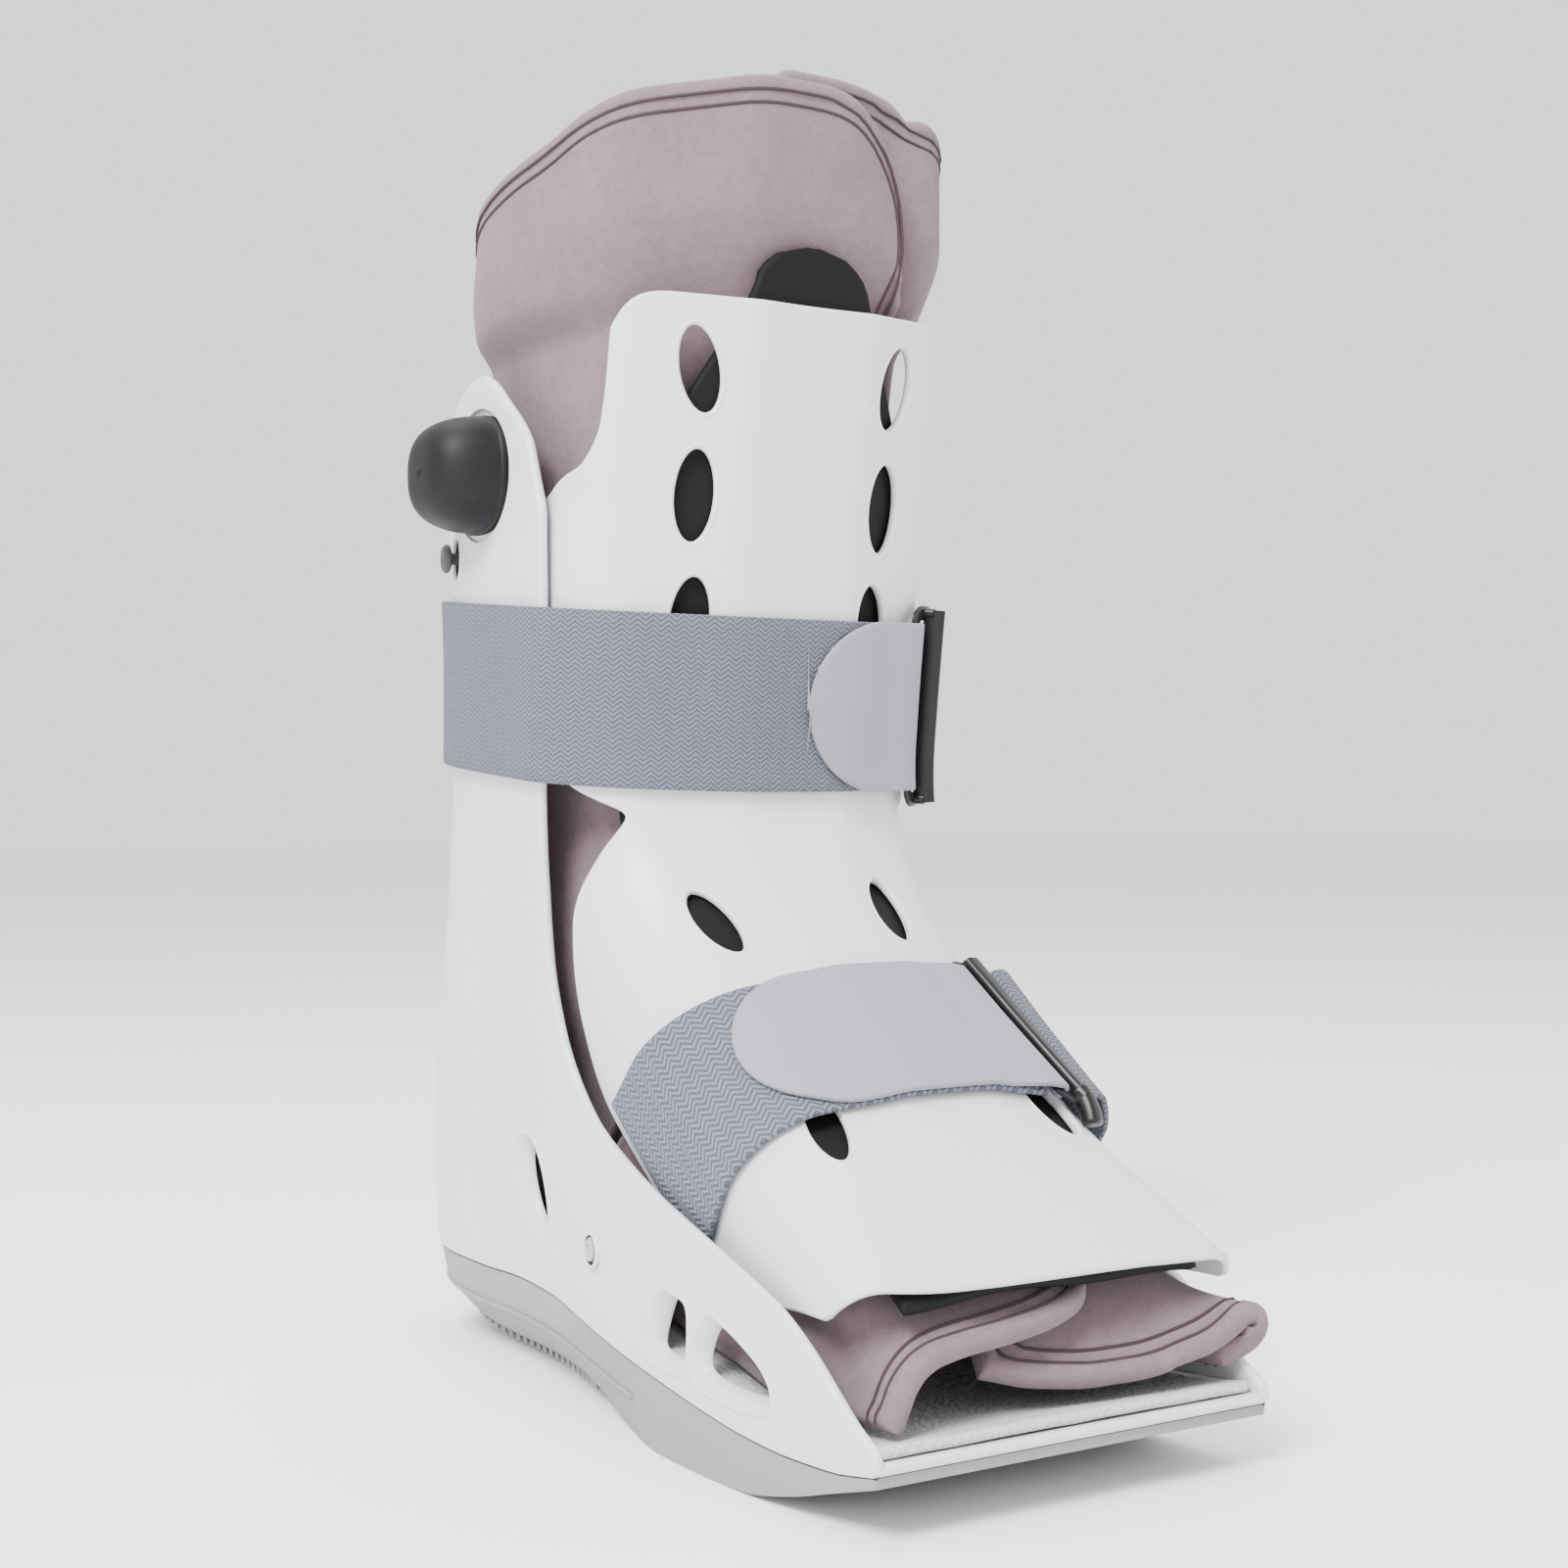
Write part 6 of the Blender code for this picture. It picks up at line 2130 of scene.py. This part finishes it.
@dataclass
class UpperStrap(Strap):
    """The strap that goes all round the leg."""

    level: float = UPPER_LEVEL
    tail_clear: float = 14.0
    slope: float = UPPER_SLOPE
    wraps: dict[float, tuple[list[float], list[float], list[float]]] = field(default_factory=dict)

    def outline(self, level: float) -> tuple[list[float], list[float], list[float]]:
        """Return the taut outline round both shells at one level, from the crest towards -X."""
        key = round(level, 1)
        if key in self.wraps:
            return self.wraps[key]
        points = []
        for i in range(81):
            _, y = rear_point(i / 80, level - 29.0)
            rise = level + self.slope * (y - UPPER_LEVEL_Y) - SOLE_AT["seam_z"](y)
            points.append(rear_point(i / 80, rise))
        points = [point for point in points if point[1] > -31]
        row = front_row_at("crest_z", level)
        crest, behind = front_frame(row)
        points += [(x, crest.y + behind.y * q) for x, q in cut_path(front_path(**front_values(row)), 50, 30)]
        outline = hull([(round(s * x, 4), round(y, 4)) for x, y in points for s in (-1, 1)])
        start = min(range(len(outline)), key=lambda i: (outline[i][1], abs(outline[i][0])))
        outline = outline[start:] + outline[:start]
        loop = [*outline, outline[0]]
        lengths = path_lengths(loop)
        self.wraps[key] = lengths, [p[0] for p in loop], [p[1] for p in loop]
        return self.wraps[key]

    @property
    def loop_length(self) -> float:
        """Return the length of the strap's whole way round at its middle."""
        return self.outline(self.level)[0][-1]

    def place(self, s: float, rise: float, lift: float) -> Vector:
        """Return a point: s millimetres right of the crest, at a rise across the band and a lift."""
        lengths, xs, ys = self.outline(self.level + rise)
        total = lengths[-1]
        if xs[0] <= 0 <= xs[1]:
            zero = lengths[1] * (0 - xs[0]) / (xs[1] - xs[0])
        else:
            zero = total + (lengths[-2] - total) * (0 - xs[-1]) / (xs[-2] - xs[-1])
        centre = zero + s * total / self.loop_length

        def at(distance: float) -> Vector:
            d = distance % total
            return Vector((float(np.interp(d, lengths, xs)), float(np.interp(d, lengths, ys)), 0))

        here = sum((at(centre + k) for k in (-6, -4, -2, 0, 2, 4, 6)), Vector((0, 0, 0))) / 7
        run = at(centre + 5) - at(centre - 5)
        normal = Vector((run.y, -run.x, 0)).normalized()
        point = here + normal * lift
        point.z = self.level + rise + self.slope * (point.y - UPPER_LEVEL_Y)
        return point

    def build(self) -> None:
        """Build the strap, its tab and its ring."""
        ring, far = self.sizes.ring, self.sizes.far_bar
        start = far - self.loop_length
        tail = [(start + reach, self.flat) for reach in range(30, 8, -3)]
        tail += list(reversed(self.wrapped(start, -1, self.low, self.high)))
        path = tail + self.stations(start + self.tail_clear, ring - self.ring_clear, self.low)
        self.band("upper_webbing", self.webbing, path, lambda _: self.width / 2, "upper_strap")
        self.tab()
        self.ring_loop()


@dataclass
class LowerStrap(Strap):
    """The strap over the instep, with the doubled webbing that holds its ring."""

    row_z: float = LOWER_ROW_Z
    start: float = -98.0
    lean: float = 0.17
    keeper_lift: float = 9.6
    keeper_clear: float = 23.0
    keeper_end: float = 32.0

    def __post_init__(self) -> None:
        """Measure the crest."""
        rows = [i / 10 for i in range((len(FRONT) - 1) * 10 + 1)]
        crests = [front_frame(row)[0] for row in rows]
        self.crest_rows = rows
        self.crest_lengths = path_lengths(crests)
        self.middle = float(np.interp(front_row_at("crest_z", self.row_z), rows, self.crest_lengths))

    def place(self, s: float, rise: float, lift: float) -> Vector:
        """Return a point: s millimetres right of the crest, at a rise across the band and a lift."""
        sweep = -4.0 * max(0.0, -s - 20) / 60
        row = float(np.interp(self.middle + sweep - rise, self.crest_lengths, self.crest_rows))
        turned = s - rise * self.lean * min(1.0, max(0.0, (s - 5) / 25))
        return instep_point(row, turned, lift)

    def build(self) -> None:
        """Build the strap, its tab, its keeper and its ring."""
        ring, far = self.sizes.ring, self.sizes.far_bar
        path = self.stations(self.start, ring - self.ring_clear, self.low)
        self.band("lower_webbing", self.webbing, path, lambda _: self.width / 2, "lower_strap")
        self.tab()
        top = self.keeper_lift
        fold = self.wrapped(far, -1, self.low, top)
        fold += [(far + 3 * i, top - 0.2 * i) for i in range(1, 4)]
        fold += [(far + 9 + 3 * i, top - 0.6 + (self.flat - top + 0.6) * i / 4) for i in range(1, 5)]
        fold += self.stations(far + self.keeper_clear, far + self.keeper_end, self.flat)
        self.band("lower_keeper_webbing", Material.WEBBING, fold, lambda _: self.width / 2, "lower_keeper")
        self.ring_loop()


@dataclass
class Pump:
    """The hand pump on its seat and the release valve under it."""

    dresser: Dresser
    half: float = PUMP_HALF
    height: float = PUMP_HEIGHT
    foot: float = 1.5
    stem: float = 1.8

    @staticmethod
    def place(lift: float) -> Matrix:
        """Return the frame of the pump's base, lifted off the shell's face."""
        point, normal = rear_wall(PUMP_PLACE.y, PUMP_PLACE.z)
        return frame_at(point + normal * lift, normal)

    @staticmethod
    def valve_place(lift: float) -> Matrix:
        """Return the frame of the release valve, lifted off the shell's face."""
        point, normal = rear_wall(VALVE_PLACE.y, VALVE_PLACE.z)
        return frame_at(point + normal * lift, normal)

    def build(self) -> None:
        """Build the bulb, the valve's collar and its button."""
        wide = self.half + 0.3
        profile = [(self.half + 0.8, -1.1), (self.half + 0.8, 0.5), (self.half + 0.4, 0.9), (wide, self.foot)]
        for i in range(1, 22):
            angle = math.radians(90 * i / 22)
            profile.append((wide * math.cos(angle) ** 0.55,
                            self.foot + (self.height - self.foot) * math.sin(angle)))
        profile += [(1.5, self.height), (1.2, self.height + 0.5), (0.6, self.height + 0.6)]
        placed = self.place(0.0)
        bulb = Workshop.turned("pump_dome", profile, placed, 96, 1.0, 0.93, 2.5)
        self.dresser.dress(bulb, Material.RUBBER, "pump_bulb")
        rim = VALVE_HOLE - 0.3
        collar = [(3.0, -3.0), (rim, -2.8), (rim, -0.5), (4.0, -0.9), (2.3, -1.1)]
        recess = Workshop.turned("valve_recess", collar, self.valve_place(0.0), 48, 1.0,
                                 RearShell.valve_stretch)
        self.dresser.dress(recess, Material.RUBBER, "valve_collar")
        profile = [(self.stem, -2.5), (self.stem, 2.0), (3.2, 2.3), (4.1, 2.6), (4.5, 3.2), (4.3, 4.0),
                   (3.4, 4.6), (1.8, 4.8)]
        button = Workshop.turned("valve_knob", profile, self.valve_place(0.0), 48)
        self.dresser.dress(button, Material.KNOB, "valve_button", body="valve")


@dataclass
class Studio:
    """The camera, the pale floor and the soft lights."""

    camera_place: tuple[float, float, float] = (-0.41265, -0.66620, 0.1822)
    look_along: tuple[float, float, float] = (0.5606, 0.8281, 0.0)
    lens: float = 57.07
    sensor: float = 36.0
    floor_size: float = 12.0
    floor_colour: tuple[float, float, float] = (0.93, 0.93, 0.93)
    sky: float = 1.5
    aim: tuple[float, float, float] = (0.0, -0.04, 0.18)

    def build(self) -> None:
        """Set up the camera, the floor, the world and the lights."""
        camera = bpy.data.objects.new("camera", bpy.data.cameras.new("camera"))
        bpy.context.scene.collection.objects.link(camera)
        camera.data.lens = self.lens
        camera.data.sensor_width = self.sensor
        camera.location = self.camera_place
        camera.rotation_euler = Vector(self.look_along).to_track_quat("-Z", "Y").to_euler()
        bpy.context.scene.camera = camera
        Workshop.select()
        bpy.ops.mesh.primitive_plane_add(size=self.floor_size, location=(0, 0, 0))
        floor = bpy.context.active_object
        floor.name = "floor"
        material = bpy.data.materials.new("floor")
        material.use_nodes = True
        shader = material.node_tree.nodes["Principled BSDF"]
        shader.inputs["Base Color"].default_value = (*self.floor_colour, 1.0)
        shader.inputs["Roughness"].default_value = 0.9
        floor.data.materials.append(material)
        world = bpy.data.worlds.new("studio")
        world.use_nodes = True
        background = world.node_tree.nodes["Background"].inputs
        background["Color"].default_value = (1, 1, 1, 1)
        background["Strength"].default_value = self.sky
        bpy.context.scene.world = world
        self.light("key", (-1.1, -0.7, 1.4), 72.0, 0.7)
        self.light("fill", (1.4, -0.9, 0.9), 8.0, 1.2)
        self.light("top", (0.1, 0.4, 1.8), 22.0, 1.0)

    def light(self, name: str, place: tuple[float, float, float], power: float, size: float) -> None:
        """Add a soft square light aimed at the boot's middle."""
        data = bpy.data.lights.new(name, "AREA")
        data.energy = power
        data.size = size
        lamp = bpy.data.objects.new(name, data)
        bpy.context.scene.collection.objects.link(lamp)
        lamp.location = place
        lamp.rotation_euler = (Vector(self.aim) - Vector(place)).to_track_quat("-Z", "Y").to_euler()


def main() -> None:
    """Build the boot's pieces round the frame."""
    dresser = Dresser()
    Studio().build()
    RearShell(dresser).build()
    Sole(dresser).build()
    FrontShell(dresser).build()
    Liner(dresser).build()
    UpperStrap(dresser, "upper", UPPER_STRAP, WEBBING_WIDTH, Material.WEBBING, STRAP_LIFT["upper"]).build()
    LowerStrap(dresser, "lower", LOWER_STRAP, WEBBING_WIDTH - 3, Material.COARSE_WEBBING, STRAP_LIFT["lower"],
               reach=26.0, bar_shift=6.0, bar_lift=6.3, bar_half=3.2, bar_tall=1.7, knob=3.4).build()
    Pump(dresser).build()


if __name__ == "__main__":
    main()
